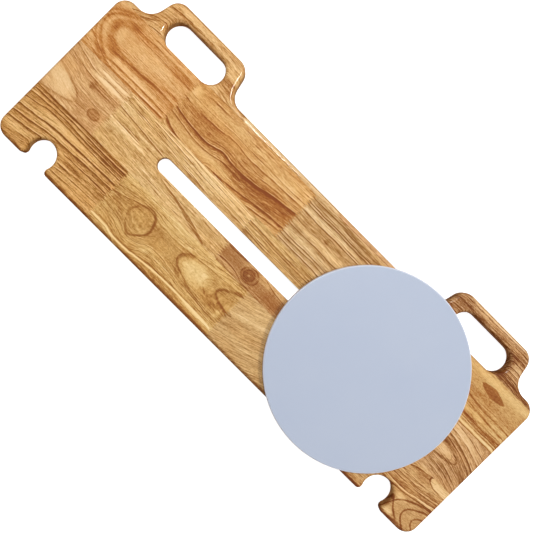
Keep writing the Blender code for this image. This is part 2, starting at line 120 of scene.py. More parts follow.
FINGER_PITCH = 0.0038
FINGER_LENGTH = 0.006
GLUE_GAP = 0.04 * MM

CORNER_SEGMENTS = 12
NOTCH_SEGMENTS = 36
HOLE_END_SEGMENTS = 24
SLOT_END_SEGMENTS = 20
EDGE_SEGMENTS = 7
PLATE_END_SEGMENTS = 24
TURNED_SEGMENTS = 192
RING_SEGMENTS = 128
BORE_SEGMENTS = 48
SCREW_SEGMENTS = 32
OVERSHOOT = 0.002


# ---- Camera, light and floor ----

FLOOR_Z = -0.2 * MM
FLOOR_SEGMENTS = 64
FLOOR_PROFILE = (
    (0.0, 0.0), (9.0, 0.0), (10.2, 0.16), (11.2, 0.6), (12.0, 1.3), (12.5, 2.4), (12.7, 4.0), (12.8, 12.0),
)
FLOOR_COLOUR = (0.55, 0.55, 0.55, 1.0)
FLOOR_GLOW = 0.93
CAMERA_HEIGHT = 0.800
CAMERA_TILT_X = math.radians(0.569)
CAMERA_TILT_Y = math.radians(1.108)
CAMERA_ROLL = math.radians(45.182)
CAMERA_AIM = (0.986 * MM, 3.087 * MM)
CAMERA_LENS = 38.63
SENSOR = 36.0

# Name, direction, distance, size and power of each softbox, and whether reflections show it.
SOFTBOXES = (
    ("key", (-0.19, 0.30, 1.0), 2.2, (0.42, 0.24), 13.8, True),
    ("second", (0.52, 0.46, 1.0), 4.2, (1.26, 0.76), 69.0, False),
    ("grip_side", (0.0, 1.6, 1.0), 2.0, (2.4, 0.7), 5.2, True),
)
# Light of the room, from straight below to straight above.
ROOM_TONES = (
    (0.0, (0.36, 0.17, 0.08, 1.0)),
    (0.5, (0.34, 0.20, 0.12, 1.0)),
    (1.0, (1.0, 1.0, 1.0, 1.0)),
)
ROOM_STRENGTH = 0.53


def make_camera():
    """Camera above the board, with the board lying diagonally in its view."""
    tilt = Matrix.Rotation(CAMERA_TILT_X, 3, "X") @ Matrix.Rotation(CAMERA_TILT_Y, 3, "Y")
    c, s = math.cos(CAMERA_ROLL), math.sin(CAMERA_ROLL)
    x, y = CAMERA_AIM
    place = tilt.transposed() @ Vector((-(c * x + s * y), -(s * x - c * y), CAMERA_HEIGHT))
    right = tilt.transposed() @ Vector((c, s, 0))
    up = tilt.transposed() @ Vector((-s, c, 0))
    back = tilt.transposed() @ Vector((0, 0, 1))
    camera = bpy.data.objects.new("camera", bpy.data.cameras.new("camera"))
    bpy.context.scene.collection.objects.link(camera)
    turn = Matrix((right, up, back)).transposed()
    camera.matrix_world = Matrix.Translation(place + Vector((0, SLOT_Y, 0))) @ turn.to_4x4()
    camera.data.lens = CAMERA_LENS
    camera.data.sensor_width = SENSOR
    bpy.context.scene.camera = camera


def make_softbox(name, direction, distance, size, power, mirrored):
    """Rectangular area light that points at the board's middle."""
    light = bpy.data.lights.new(name, "AREA")
    light.shape = "RECTANGLE"
    light.size, light.size_y = size
    light.energy = power
    item = bpy.data.objects.new(name, light)
    bpy.context.scene.collection.objects.link(item)
    direction = Vector(direction).normalized()
    item.location = direction * distance
    item.rotation_euler = direction.to_track_quat("Z", "Y").to_euler()
    item.visible_glossy = mirrored


def make_light():
    """Small key softbox that gives the glints, two broad ones, and a room that is warm and dim below."""
    for softbox in SOFTBOXES:
        make_softbox(*softbox)
    world = bpy.data.worlds.new("room")
    world.use_nodes = True
    tree = world.node_tree
    coordinates = tree.nodes.new("ShaderNodeTexCoord")
    split = tree.nodes.new("ShaderNodeSeparateXYZ")
    tree.links.new(coordinates.outputs["Generated"], split.inputs[0])
    height = Field(tree, split.outputs["Z"]) * 0.5 + 0.5
    background = tree.nodes["Background"]
    feed(tree, background.inputs["Color"], ramp(tree, height, ROOM_TONES))
    background.inputs["Strength"].default_value = ROOM_STRENGTH
    bpy.context.scene.world = world
    bpy.context.scene.view_settings.view_transform = "Standard"


def make_floor():
    """Plain pale floor that curves up into a round backdrop far from the board."""
    profile = [(radius, FLOOR_Z + height) for radius, height in reversed(FLOOR_PROFILE)]
    floor = turned("floor", profile, FLOOR_SEGMENTS)
    floor.data.shade_smooth()
    material, _, shader = new_material("floor_white")
    shader.inputs["Base Color"].default_value = FLOOR_COLOUR
    shader.inputs["Roughness"].default_value = 0.9
    shader.inputs["Specular IOR Level"].default_value = 0.0
    shader.inputs["Emission Color"].default_value = (1.0, 1.0, 1.0, 1.0)
    shader.inputs["Emission Strength"].default_value = FLOOR_GLOW
    floor.data.materials.append(material)
    floor.visible_glossy = False
    floor.visible_diffuse = False
    floor.visible_shadow = False


# ---- Solids ----


def new_object(name, bm):
    """Object that takes over the bmesh."""
    mesh = bpy.data.meshes.new(name)
    bm.to_mesh(mesh)
    bm.free()
    item = bpy.data.objects.new(name, mesh)
    bpy.context.scene.collection.objects.link(item)
    return item


def loft(name, sections):
    """Closed solid through sections, which are (points, z) pairs from bottom to top."""
    bm = bmesh.new()
    rings = []
    for points, z in sections:
        rings.append([bm.verts.new((x, y, z)) for x, y in points])
    for lower, upper in zip(rings, rings[1:]):
        for here in range(len(lower)):
            after = (here + 1) % len(lower)
            bm.faces.new((lower[here], lower[after], upper[after], upper[here]))
    bm.faces.new(list(reversed(rings[0])))
    bm.faces.new(rings[-1])
    return new_object(name, bm)


def turned(name, profile, segments=TURNED_SEGMENTS, hollow=False):
    """Solid of revolution about Z; its profile of (radius, z) goes up on the outer side.

    A solid one starts and ends on the axis, and a hollow one closes on itself.
    """
    bm = bmesh.new()
    rings = []
    for radius, z in profile:
        if radius == 0:
            rings.append([bm.verts.new((0, 0, z))] * segments)
            continue
        rings.append([bm.verts.new((x, y, z)) for x, y in circle_points(radius, segments)])
    pairs = list(zip(rings, rings[1:]))
    if hollow:
        pairs.append((rings[-1], rings[0]))
    for lower, upper in pairs:
        for here in range(segments):
            after = (here + 1) % segments
            corners = (lower[here], lower[after], upper[after], upper[here])
            bm.faces.new(list(dict.fromkeys(corners)))
    return new_object(name, bm)


def apply_modifiers(item):
    """Replace the object's mesh with its evaluated one."""
    depsgraph = bpy.context.evaluated_depsgraph_get()
    mesh = bpy.data.meshes.new_from_object(item.evaluated_get(depsgraph))
    plain = item.data
    item.modifiers.clear()
    item.data = mesh
    bpy.data.meshes.remove(plain)


def cut(item, cutter, operation="DIFFERENCE"):
    """Apply an exact Boolean with a cutter, and remove the cutter."""
    modifier = item.modifiers.new("cut", "BOOLEAN")
    modifier.operation = operation
    modifier.solver = "EXACT"
    modifier.object = cutter
    apply_modifiers(item)
    bpy.data.objects.remove(cutter, do_unlink=True)


def smooth(item, angle=30):
    """Smooth shading with sharp edges kept, and flat faces left flat."""
    item.data.shade_smooth()
    item.data.set_sharp_from_angle(angle=math.radians(angle))
    normals = item.modifiers.new("normals", "WEIGHTED_NORMAL")
    normals.mode = "FACE_AREA"
    normals.keep_sharp = True
    apply_modifiers(item)


# ---- Outlines, as lists of (x, y) in the slot's frame that run counter-clockwise ----


def arc_points(centre, radius, start, end, segments):
    """Points on an arc from angle start to angle end, both ends included."""
    points = []
    for step in range(segments + 1):
        angle = start + (end - start) * step / segments
        points.append((centre[0] + radius * math.cos(angle), centre[1] + radius * math.sin(angle)))
    return points


def circle_points(radius, segments):
    """Points of a circle round the origin."""
    return arc_points((0, 0), radius, 0, 2 * math.pi * (1 - 1 / segments), segments - 1)


def corner_points(before, corner, after, radius, inset):
    """Rounded corner of an outline that has its material on the left."""
    arriving = (Vector(corner) - Vector(before)).normalized()
    leaving = (Vector(after) - Vector(corner)).normalized()
    side = 1 if arriving.cross(leaving) > 0 else -1
    turn = arriving.angle(leaving)
    inward = Vector((-arriving.y, arriving.x)) * side
    centre = Vector(corner) - arriving * radius * math.tan(turn / 2) + inward * radius
    start = math.atan2(-inward.y, -inward.x)
    return arc_points(centre, radius - side * inset, start, start + side * turn, CORNER_SEGMENTS)


def notch_points(centre_x, inset):
    """Keyhole notch in the -Y side: lip, neck, round pocket, neck and lip."""
    lip_x = NOTCH_NECK_HALF + NOTCH_LIP_RADIUS
    lip_y = -HALF_WIDTH + NOTCH_LIP_RADIUS
    lip = NOTCH_LIP_RADIUS - inset
    pocket = NOTCH_RADIUS + inset
    pocket_centre = (centre_x, -HALF_WIDTH + NOTCH_DEPTH)
    neck_angle = math.acos((NOTCH_NECK_HALF + inset) / pocket)
    points = arc_points((centre_x - lip_x, lip_y), lip, -math.pi / 2, 0, CORNER_SEGMENTS)
    points += arc_points(pocket_centre, pocket, math.pi + neck_angle, -neck_angle, NOTCH_SEGMENTS)
    points += arc_points((centre_x + lip_x, lip_y), lip, math.pi, 1.5 * math.pi, CORNER_SEGMENTS)
    return points


def grip_corners(centre_x):
    """Corners of one hand grip, in the order that the outline meets them."""
    return [
        ((centre_x + GRIP_BASE_HALF, HALF_WIDTH), GRIP_BASE_RADIUS),
        ((centre_x + GRIP_TOP_HALF, GRIP_TOP_Y), GRIP_TOP_RADIUS),
        ((centre_x - GRIP_TOP_HALF, GRIP_TOP_Y), GRIP_TOP_RADIUS),
        ((centre_x - GRIP_BASE_HALF, HALF_WIDTH), GRIP_BASE_RADIUS),
    ]


def panel_outline(inset):
    """Outer edge of the panel with its grips and notches."""
    left_grip, right_grip = GRIP_CENTRES
    corners = [
        ((-HALF_LENGTH, -HALF_WIDTH), CORNER_RADIUS),
        ((HALF_LENGTH, -HALF_WIDTH), CORNER_RADIUS),
        ((HALF_LENGTH, HALF_WIDTH), CORNER_RADIUS),
        *grip_corners(right_grip),
        *grip_corners(left_grip),
        ((-HALF_LENGTH, HALF_WIDTH), CORNER_RADIUS),
    ]
    points = []
    for index, (corner, radius) in enumerate(corners):
        before = corners[index - 1][0]
        after = corners[(index + 1) % len(corners)][0]
        points += corner_points(before, corner, after, radius, inset)
        if index == 0:
            for centre_x in NOTCH_CENTRES:
                points += notch_points(centre_x, inset)
    return points


def stadium(length, width, grow, segments, centre=(0.0, 0.0)):
    """Slot shape: two straight sides and two half circles."""
    x, y = centre
    half = (length - width) / 2
    radius = width / 2 + grow
    right = arc_points((x + half, y), radius, -math.pi / 2, math.pi / 2, segments)
    left = arc_points((x - half, y), radius, math.pi / 2, 1.5 * math.pi, segments)
    return right + left


def round_steps(radius, segments=EDGE_SEGMENTS):
    """Quarter round between a flat face and a wall, as (inset, height) pairs from the face."""
    steps = []
    for step in range(segments + 1):
        angle = math.pi / 2 * step / segments
        steps.append((radius * (1 - math.sin(angle)), radius * (1 - math.cos(angle))))
    return steps


# ---- Panel and its staves ----


def hole_cutter(length, width, radius, centre, segments):
    """Cutter for a hole through the panel, with both rims rounded over."""
    steps = round_steps(radius)
    levels = [(radius, -OVERSHOOT), *steps]
    levels += [(grow, BOARD_TOP - height) for grow, height in reversed(steps)]
    levels += [(radius, BOARD_TOP + OVERSHOOT)]
    return loft("cutter", [(stadium(length, width, grow, segments, centre), z) for grow, z in levels])


def slot_cutter():
    """Cutter for the slot: plain below, with its top rim eased."""
    levels = [(0.0, REBATE_DEPTH - OVERSHOOT)]
    levels += [(grow, BOARD_TOP - height) for grow, height in reversed(round_steps(SLOT_ROUND, 4))]
    levels += [(SLOT_ROUND, BOARD_TOP + OVERSHOOT)]
    rim = [(stadium(SLOT_LENGTH, SLOT_WIDTH, grow, SLOT_END_SEGMENTS), z) for grow, z in levels]
    return loft("cutter", rim)


def rebate_cutter():
    """Cutter for the rebate in the underside, with a chamfered rim."""
    levels = [(REBATE_CHAMFER, -OVERSHOOT), (REBATE_CHAMFER, 0.0), (0.0, REBATE_CHAMFER), (0.0, REBATE_DEPTH)]
    rim = [(stadium(REBATE_LENGTH, REBATE_WIDTH, grow, SLOT_END_SEGMENTS), z) for grow, z in levels]
    return loft("cutter", rim)


def make_panel():
    """The whole panel as one solid, before it is divided into staves."""
    steps = round_steps(EDGE_ROUND)
    sections = [(panel_outline(inset), height) for inset, height in steps]
    sections += [(panel_outline(inset), BOARD_TOP - height) for inset, height in reversed(steps)]
    panel = loft("panel", sections)
    for centre_x in GRIP_CENTRES:
        centre = (centre_x, HAND_HOLE_Y)
        cut(panel, hole_cutter(HAND_HOLE_LENGTH, HAND_HOLE_WIDTH, EDGE_ROUND, centre, HOLE_END_SEGMENTS))
    cut(panel, slot_cutter())
    cut(panel, rebate_cutter())
    return panel


def finger_offset(y):
    """Triangle wave of the finger joints, from -1 to 1."""
    phase = y / FINGER_PITCH
    return 4 * abs(phase - math.floor(phase + 0.5)) - 1


def finger_edge(joint_x, low, high):
    """Zigzag end of a stave, from low to high."""
    half_pitch = FINGER_PITCH / 2
    first = math.floor(low / half_pitch) + 1
    last = math.ceil(high / half_pitch) - 1
    heights = [low] + [half_pitch * step for step in range(first, last + 1)] + [high]
    return [(joint_x + FINGER_LENGTH / 2 * finger_offset(y), y) for y in heights]


def stave_prism(start, end, low, high):
    """Upright prism that holds one stave; an end of None runs past the panel."""
    low += GLUE_GAP / 2
    high -= GLUE_GAP / 2
    beyond = HALF_LENGTH + OVERSHOOT
    right = [(beyond, low), (beyond, high)]
    left = [(-beyond, low), (-beyond, high)]
    if end is not None:
        right = finger_edge(end - GLUE_GAP / 2, low, high)
    if start is not None:
        left = finger_edge(start + GLUE_GAP / 2, low, high)
    outline = right + list(reversed(left))
    return loft("cutter", [(outline, -OVERSHOOT), (outline, BOARD_TOP + OVERSHOOT)])


def row_joints(row, middle):
    """X of the finger joints of a row, halfway through the overlap of neighbouring staves."""
    names = [f"{row}_1", f"{row}_2", middle, f"{row}_4"]
    joints = []
    for here, after in zip(names, names[1:]):
        joints.append((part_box(here)[1].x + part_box(after)[0].x) / 2)
    return joints


def glue_line(below, above):
    """Y of the glue line between two staves, in the slot's frame."""
    return (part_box(below)[1].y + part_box(above)[0].y) / 2 - SLOT_Y


def stave_spans():
    """Name, (start, end, low, high) of each stave; None is the panel's own edge."""
    lower_glue = glue_line("lower_stave_1", "slot_stave_1")
    upper_glue = glue_line("slot_stave_1", "upper_stave_1")
    handle_glue = glue_line("upper_stave_2", "handle_stave_2")
    rows = (
        ("handle_stave", handle_glue, GRIP_TOP_Y + OVERSHOOT),
        ("upper_stave", upper_glue, handle_glue),
        ("slot_stave", lower_glue, upper_glue),
        ("lower_stave", -HALF_WIDTH - OVERSHOOT, lower_glue),
    )
    spans = {}
    for row, low, high in rows:
        middle = "slot_stave_3_notch_side" if row == "slot_stave" else f"{row}_3"
        joints = row_joints(row, middle)
        for number, (start, end) in enumerate(zip((None, *joints), (*joints, None)), start=1):
            name = f"{row}_{number}"
            if name == "slot_stave_3":
                spans[f"{name}_notch_side"] = (start, end, low, 0.0)
                spans[f"{name}_grip_side"] = (start, end, 0.0, high)
            else:
                spans[name] = (start, end, low, high)
    return spans


def make_staves():
    """Every stave as the part of one fine panel that its span holds."""
    panel = make_panel()
    for name, span in stave_spans().items():
        slot, make_wood = STAVE_WOODS[name]
        stave = bpy.data.objects.new(f"{name}_wood", panel.data.copy())
        bpy.context.scene.collection.objects.link(stave)
        cut(stave, stave_prism(*span), "INTERSECT")
        stave.data.transform(Matrix.Translation((0, SLOT_Y, 0)))
        settle(stave, make_wood(), "board", name, (0, 0, 0))
    bpy.data.objects.remove(panel, do_unlink=True)


def settle(item, material, body, node, place=AXIS):
    """Smooth a piece, put it in its place with its material and its body, and hide the node it stands for."""
    smooth(item)
    item.location = place
    item.data.materials.clear()
    item.data.materials.append(material)
    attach(item, body)
    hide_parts(node)


def half_width(node):
    """Half of a round node's width."""
    low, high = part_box(node)
    return (high.x - low.x) / 2


# ---- Node graphs ----


def linear(red, green, blue):
    """Linear colour of an sRGB colour given from 0 to 255."""
    parts = []
    for value in (red, green, blue):
        value /= 255
        parts.append(value / 12.92 if value <= 0.04045 else ((value + 0.055) / 1.055) ** 2.4)
    return (*parts, 1.0)


class Field:
    """A number that varies over a surface: a node socket that sums are written with."""

    def __init__(self, tree, socket):
        self.tree = tree
        self.socket = socket

    def __add__(self, other):
        return calculate(self.tree, "ADD", self, other)

    def __sub__(self, other):
        return calculate(self.tree, "SUBTRACT", self, other)

    def __rsub__(self, other):
        return calculate(self.tree, "SUBTRACT", other, self)

    def __mul__(self, other):
        return calculate(self.tree, "MULTIPLY", self, other)

    def __truediv__(self, other):
        return calculate(self.tree, "DIVIDE", self, other)

    __radd__ = __add__
    __rmul__ = __mul__

    def size(self):
        return calculate(self.tree, "ABSOLUTE", self)

    def squared(self):
        return calculate(self.tree, "MULTIPLY", self, self)

    def root(self):
        return calculate(self.tree, "SQRT", self)

    def rise(self, start, end):
        """0 up to start and 1 from end on, or the other way round if end is less."""
        node = self.tree.nodes.new("ShaderNodeMapRange")
        node.interpolation_type = "SMOOTHSTEP"
        low, high = min(start, end), max(start, end)
        feed(self.tree, node.inputs["Value"], self)
        node.inputs["From Min"].default_value = low
        node.inputs["From Max"].default_value = high
        node.inputs["To Min"].default_value = 0.0 if start < end else 1.0
        node.inputs["To Max"].default_value = 1.0 if start < end else 0.0
        return Field(self.tree, node.outputs["Result"])


def feed(tree, place, value):
    """Give a socket a field to follow, or a plain value."""
    if isinstance(value, Field):
        tree.links.new(value.socket, place)
    else:
        place.default_value = value


def calculate(tree, operation, *values):
    """A Math node."""
    node = tree.nodes.new("ShaderNodeMath")
    node.operation = operation
    for place, value in zip(node.inputs, values):
        feed(tree, place, value)
    return Field(tree, node.outputs[0])


def vector(tree, x, y, z):
    """Three fields as one vector."""
    node = tree.nodes.new("ShaderNodeCombineXYZ")
    for place, value in zip(node.inputs, (x, y, z)):
        feed(tree, place, value)
    return Field(tree, node.outputs[0])


def noise(tree, place, detail=2.0, roughness=0.5, scale=1.0):
    """Smooth random field of a vector, centred on 0 and mostly within -0.3 to 0.3."""
    node = tree.nodes.new("ShaderNodeTexNoise")
    tree.links.new(place.socket, node.inputs["Vector"])
    node.inputs["Scale"].default_value = scale
    node.inputs["Detail"].default_value = detail
    node.inputs["Roughness"].default_value = roughness
    return Field(tree, node.outputs["Fac"]) - 0.5


def curve(tree, x, points):
    """Smooth curve through (x, y) points, held level beyond its ends."""
    xs = [point[0] for point in points]
    ys = [point[1] for point in points]
    low, high = min(ys) - 1.0, max(ys) + 1.0
    node = tree.nodes.new("ShaderNodeFloatCurve")
    place = (x - xs[0]) / (xs[-1] - xs[0])
    feed(tree, node.inputs["Value"], place)
    line = node.mapping.curves[0]
    for spot, (px, py) in enumerate(points):
        where = ((px - xs[0]) / (xs[-1] - xs[0]), (py - low) / (high - low))
        if spot < 2:
            line.points[spot].location = where
        else:
            line.points.new(*where)
    node.mapping.extend = "HORIZONTAL"
    node.mapping.update()
    return Field(tree, node.outputs["Value"]) * (high - low) + low


def ramp(tree, value, stops):
    """Colour of a value along (position, colour) stops."""
    node = tree.nodes.new("ShaderNodeValToRGB")
    feed(tree, node.inputs["Fac"], value)
    elements = node.color_ramp.elements
    while len(elements) < len(stops):
        elements.new(1.0)
    for element, (position, colour) in zip(elements, stops):
        element.position = position
        element.color = colour
    return Field(tree, node.outputs["Color"])


def blend_colours(tree, factor, first, second, mode="MIX"):
    """Mix of two colours by a field."""
    node = tree.nodes.new("ShaderNodeMix")
    node.data_type = "RGBA"
    node.blend_type = mode
    feed(tree, node.inputs[0], factor)
    feed(tree, node.inputs[6], first)
    feed(tree, node.inputs[7], second)
    return Field(tree, node.outputs[2])


def new_material(name):
    """Node material, with its tree and its Principled shader."""
    material = bpy.data.materials.new(name)
    material.use_nodes = True
    return material, material.node_tree, material.node_tree.nodes["Principled BSDF"]


def surface(tree, shader, colour, roughness, height, strength, distance):
    """Give the shader its colour and roughness fields, and a bump from a height field."""
    node = tree.nodes.new("ShaderNodeBump")
    node.inputs["Strength"].default_value = strength
    node.inputs["Distance"].default_value = distance
    feed(tree, node.inputs["Height"], height)
    feed(tree, shader.inputs["Base Color"], colour)
    feed(tree, shader.inputs["Roughness"], roughness)
    feed(tree, shader.inputs["Normal"], Field(tree, node.outputs["Normal"]))


def place_fields(tree):
    """X, Y and Z of the object's own frame, in millimetres."""
    coordinates = tree.nodes.new("ShaderNodeTexCoord")
    split = tree.nodes.new("ShaderNodeSeparateXYZ")
    tree.links.new(coordinates.outputs["Object"], split.inputs[0])
    return [Field(tree, socket) / MM for socket in split.outputs]


# ---- Wood ----

BOARD_ENDS = (-400, 400)
LEVEL = ((-400, 0), (400, 0))
GRAIN_LEAN = 0.7
CRISP_LINE = 1.7
LINE_FRINGE = 0.35
# Painted shade along the notch-side rounded edge: its strength, and where it starts and is full, in mm from
# the middle.
PAINTED_RIM_SHADE = 0.4
PAINTED_RIM_SHADE_START = HALF_WIDTH / MM - 7.0
PAINTED_RIM_SHADE_END = HALF_WIDTH / MM - 3.0
LACQUER_GLARE = 0.022
DEEP_SHARES = (0.62, 0.42, 0.22)
LIGHT_SHARE = 1.04
LIGHT_ADDED = (0.08, 0.11, 0.11)
WARM_TINT = (1.0, 0.94, 0.84, 1.0)


class Wood:
    """Figure of one stave, as a tone from 0 (pale) to 1 (dark), in millimetres of the slot's frame.

    Places on the top face are (x, y). Deeper in the wood the figure leans, so
    that the edges and the underside cut it as they would cut real growth rings.
    """

    def __init__(self, name, *colours, pitch, seed, course=LEVEL, under=None, middle_y=0.0):
        """Plain grain in three sRGB colours from pale to dark; it follows course, or under below middle_y."""
        self.material, self.tree, self.shader = new_material(name)
        self.colours = [tuple(part - LACQUER_GLARE for part in linear(*colour)[:3]) for colour in colours]
        tree = self.tree
        x, y, z = place_fields(tree)
        self.x = x
        self.depth = BOARD_TOP / MM - z
        self.flat_y = y - SLOT_Y / MM
        leaning = self.flat_y + self.depth * GRAIN_LEAN
        wander = noise(tree, vector(tree, x / 45 + seed, leaning / 16, seed)) * 3.2
        ripple = noise(tree, vector(tree, x / 12 + seed, leaning / 3.5, seed)) * 0.9
        self.y = leaning + wander + ripple
        self.seed = seed
        bend = curve(tree, x, course)
        if under:
            low = curve(tree, x, under)
            bend = low + (bend - low) * self.y.rise(middle_y - 18, middle_y + 18)
        self.grain = self.y - bend
        self.strength = noise(tree, vector(tree, x / 38 + seed, leaning / 9, 7.0)) * 1.5 + 1.0
        self.tone = self.grain_tone(pitch)

    def grain_tone(self, pitch):
        """Tone of the plain grain: broad bands, growth lines, streaks and fibres."""
        tree, x, across, seed = self.tree, self.x, self.grain, self.seed
        bands = noise(tree, vector(tree, x / 240 + seed, across / (2.2 * pitch), seed), 1.0)
        rings = noise(tree, vector(tree, x / 210 + seed, across / (0.75 * pitch), 3.0 + seed), 2.0, 0.55)
        hairs = rings.size().rise(0.035, 0.0) * self.strength
        streaks = noise(tree, vector(tree, x / 110 + seed, across / 1.9, self.depth / 5 + seed), 2.0, 0.6)
        fibres = noise(tree, vector(tree, x / 12, across / 0.95, self.depth / 3 + seed), 1.0, 0.6)
        return bands * 0.6 + rings * 0.45 + hairs * 0.18 + streaks * 0.6 + fibres * 1.0 + 0.46

    def streak(self, away, above, below):
        """1 on a line and fading beside it, away being the height over it; a crisp one has a pale fringe."""
        shape = away.rise(-below, 0) * away.rise(above, 0)
        if above > CRISP_LINE:
            return shape
        return shape - away.rise(above * 0.5, above * 1.3) * away.rise(above * 3.4, above * 1.3) * LINE_FRINGE

    def line(self, above, below, tone, *points):
        """Growth line through points, that fades out above and below; a negative tone is paler."""
        shape = self.streak(self.y - curve(self.tree, self.x, points), above, below)
        start, end = points[0][0], points[-1][0]
        if start > BOARD_ENDS[0] + 5:
            shape = shape * self.x.rise(start - 4, start + 8)
        if end < BOARD_ENDS[1] - 5:
            shape = shape * self.x.rise(end + 4, end - 8)
        self.tone = self.tone + shape * self.strength * tone

    def lines(self, heights, above, below, tone, span=BOARD_ENDS):
        """Growth lines that keep to the course of the grain, at these heights."""
        for height in heights:
            shape = self.streak(self.grain - height, above, below)
            if span[0] > BOARD_ENDS[0]:
                shape = shape * self.x.rise(span[0] - 6, span[0] + 6)
            if span[1] < BOARD_ENDS[1]:
                shape = shape * self.x.rise(span[1] + 6, span[1] - 6)
            self.tone = self.tone + shape * self.strength * tone

    def distance(self, centre, size, turn=0.0, pointed=0.0):
        """1 on an ellipse with these half sizes and less inside it; pointed sharpens its lower end."""
        c, s = math.cos(math.radians(turn)), math.sin(math.radians(turn))
        dx = self.x + (self.y - self.flat_y - self.depth * GRAIN_LEAN) - centre[0]
        dy = self.y - centre[1]
        along = (dx * c + dy * s) / size[0]
        across = (dy * c - dx * s) / size[1]
        reach = (along.squared() + across.squared()).root()
        if pointed:
            reach = reach + along.size() * (across * -1).rise(0, 1) * pointed
        return reach

    def patch(self, centre, size, tone, turn=0.0, soft=0.5):
        """Darker or paler patch with a soft edge."""
        shape = self.distance(centre, size, turn).rise(1 + soft, 1 - soft)
        self.tone = self.tone + shape * tone

    def ring(self, centre, size, width, tone, turn=0.0, pointed=0.0, heavy=0.0):
        """Closed dark line round a centre; width is a share of the size, heavy darkens its +X side."""
        away = (self.distance(centre, size, turn, pointed) - 1).size()
        side = (self.x - centre[0]).rise(-size[0], size[0]) * (2 * heavy) + (1 - heavy)
        self.tone = self.tone + away.rise(width, 0) * self.strength * side * tone

    def calm(self, centre, size, share=0.7, turn=0.0, soft=0.4):
        """Area where the plain grain fades by a share."""
        shape = self.distance(centre, size, turn).rise(1 + soft, 1 - soft) * -share + 1.0
        self.tone = (self.tone - 0.5) * shape + 0.5

    def spindle(self, centre, size, tone, turn=0.0):
        """Flat dark knot with crisp edges that runs to a point at both ends."""
        c, s = math.cos(math.radians(turn)), math.sin(math.radians(turn))
        dx = self.x - centre[0]
        dy = self.y - centre[1]
        along = ((dx * c + dy * s) / size[0]).size()
        across = ((dy * c - dx * s) / size[1]).size()
        reach = along * 0.94 + across.squared() * 0.72 + across * 0.24
        self.tone = self.tone + reach.rise(1.06, 0.94) * tone

    def wedge(self, top, bottom, tone):
        """Dark area between two curves."""
        below = (curve(self.tree, self.x, top) - self.y).rise(-0.4, 0.8)
        above = (self.y - curve(self.tree, self.x, bottom)).rise(-0.4, 0.8)
        start, end = top[0][0], top[-1][0]
        shape = below * above * self.x.rise(start, start + 6) * self.x.rise(end, end - 3)
        self.tone = self.tone + shape * tone

    def bows(self, apexes, middle_y, round_above, round_below, width, tone, open_to=1, reach=60, taper=0.03):
        """Nested bows that open towards +X (1) or -X (-1), each with its tip at an apex.

        A bow is as wide as the root of its distance from the tip times its roundness.
        """
        up = self.y - middle_y
        share = up.rise(-1.0, 1.0) * (1 / round_above - 1 / round_below) + 1 / round_below
        bent = up.squared() * share
        steep = ((up * share * 2).squared() + 1.0).root() * (up.size() * taper + 1.0)
        for apex in apexes:
            away = (self.x - apex) * open_to - bent
            shape = (away / steep).rise(-width, 0) * (away / steep).rise(width * 0.7, 0)
            near = ((self.x - apex) * open_to).rise(reach, reach * 0.6)
            self.tone = self.tone + shape * near * self.strength * tone

    def painted_rim_shade(self):
        """Painted shade: darker, redder wood along the rounded edge on the notches' side, which faces away
        from the light.
        """
        self.tone = self.tone + (self.flat_y * -1).rise(PAINTED_RIM_SHADE_START, PAINTED_RIM_SHADE_END) * PAINTED_RIM_SHADE

    def finger_lines(self, joints, tone):
        """Thin dark glue line along each finger joint."""
        for joint in joints:
            phase = calculate(self.tree, "PINGPONG", self.flat_y / (FINGER_PITCH / MM), 0.5)
            edge = (phase * 4 - 1) * (FINGER_LENGTH / MM / 2) + joint / MM
            self.tone = self.tone + (self.x - edge).size().rise(0.7, 0) * tone

    def finish(self, contrast=1.0):
        """Colour, gloss and pores from the tone; returns the material."""
        tree, shader = self.tree, self.shader
        pale, middle, dark = self.colours
        pores = noise(tree, vector(tree, self.x / 7, self.grain / 0.75, self.depth), 1.0).rise(0.09, 0.2)
        grit = noise(tree, vector(tree, self.x / 3.0, self.grain / 1.3, self.depth / 2 + self.seed), 1.0, 0.6)
        tone = (self.tone - 0.5) * contrast + 0.5 + pores * 0.16 + grit * 0.55
        deep = [share * part for share, part in zip(DEEP_SHARES, dark)]
        light = [LIGHT_SHARE * part + white for part, white in zip(pale, LIGHT_ADDED)]
        tones = (light, pale, middle, dark, deep)
        colour = ramp(tree, tone, [(0.25 * number, (*part, 1.0)) for number, part in enumerate(tones)])
        warmth = noise(tree, vector(tree, self.x / 70, self.y / 22, self.seed + 5), 2.0)
        colour = blend_colours(tree, warmth.rise(-0.12, 0.22), colour, WARM_TINT, "MULTIPLY")
        surface(tree, shader, colour, self.tone * 0.12 + 0.50, self.tone * -1.0 - pores, 0.35, 0.06 * MM)
        shader.inputs["Specular IOR Level"].default_value = 0.1
        shader.inputs["Coat Weight"].default_value = 0.75
        shader.inputs["Coat Roughness"].default_value = 0.06
        return self.material


def handle_wood_1():
    """Golden left grip; its lines rise from the board's end into the grip."""
    course = ((-400, -30), (-378, -18), (-355, -6), (-335, 0), (-300, 2), (-240, 1), (-200, -3), (-165, -6))
    wood = Wood("wood_handle_1", (230, 192, 136), (206, 158, 100), (166, 110, 58),
                course=course, pitch=7.0, seed=1.3)
    wood.lines((171.2, 160.0), 1.2, 2.4, 0.22, (-340, -205))
    wood.lines((137.0, 128.0, 121.0), 0.8, 2.2, 0.3, (-400, -322))
    wood.line(1.0, 3.5, 0.3, (-400, 104), (-388, 110), (-370, 117), (-350, 127), (-340, 134))
    wood.line(0.8, 2.0, 0.12, (-352, 116), (-335, 121), (-318, 119))
    wood.line(0.8, 2.5, 0.28, (-226, 125), (-208, 124), (-190, 119), (-165, 118))
    wood.patch((-352, 131), (6, 3), 0.22, 20)
    # Darker band over the hand hole's upper rim and pale band under the grip's top edge: partly brown grain,
    # partly painted shade and a painted highlight that make the bar look round.
    wood.patch((-300, 159), (45, 4), 0.14)
    wood.patch((-300, 168), (34, 3), -0.2)
    wood.patch((-214, 141), (8, 3.5), 0.16)
    return wood.finish()


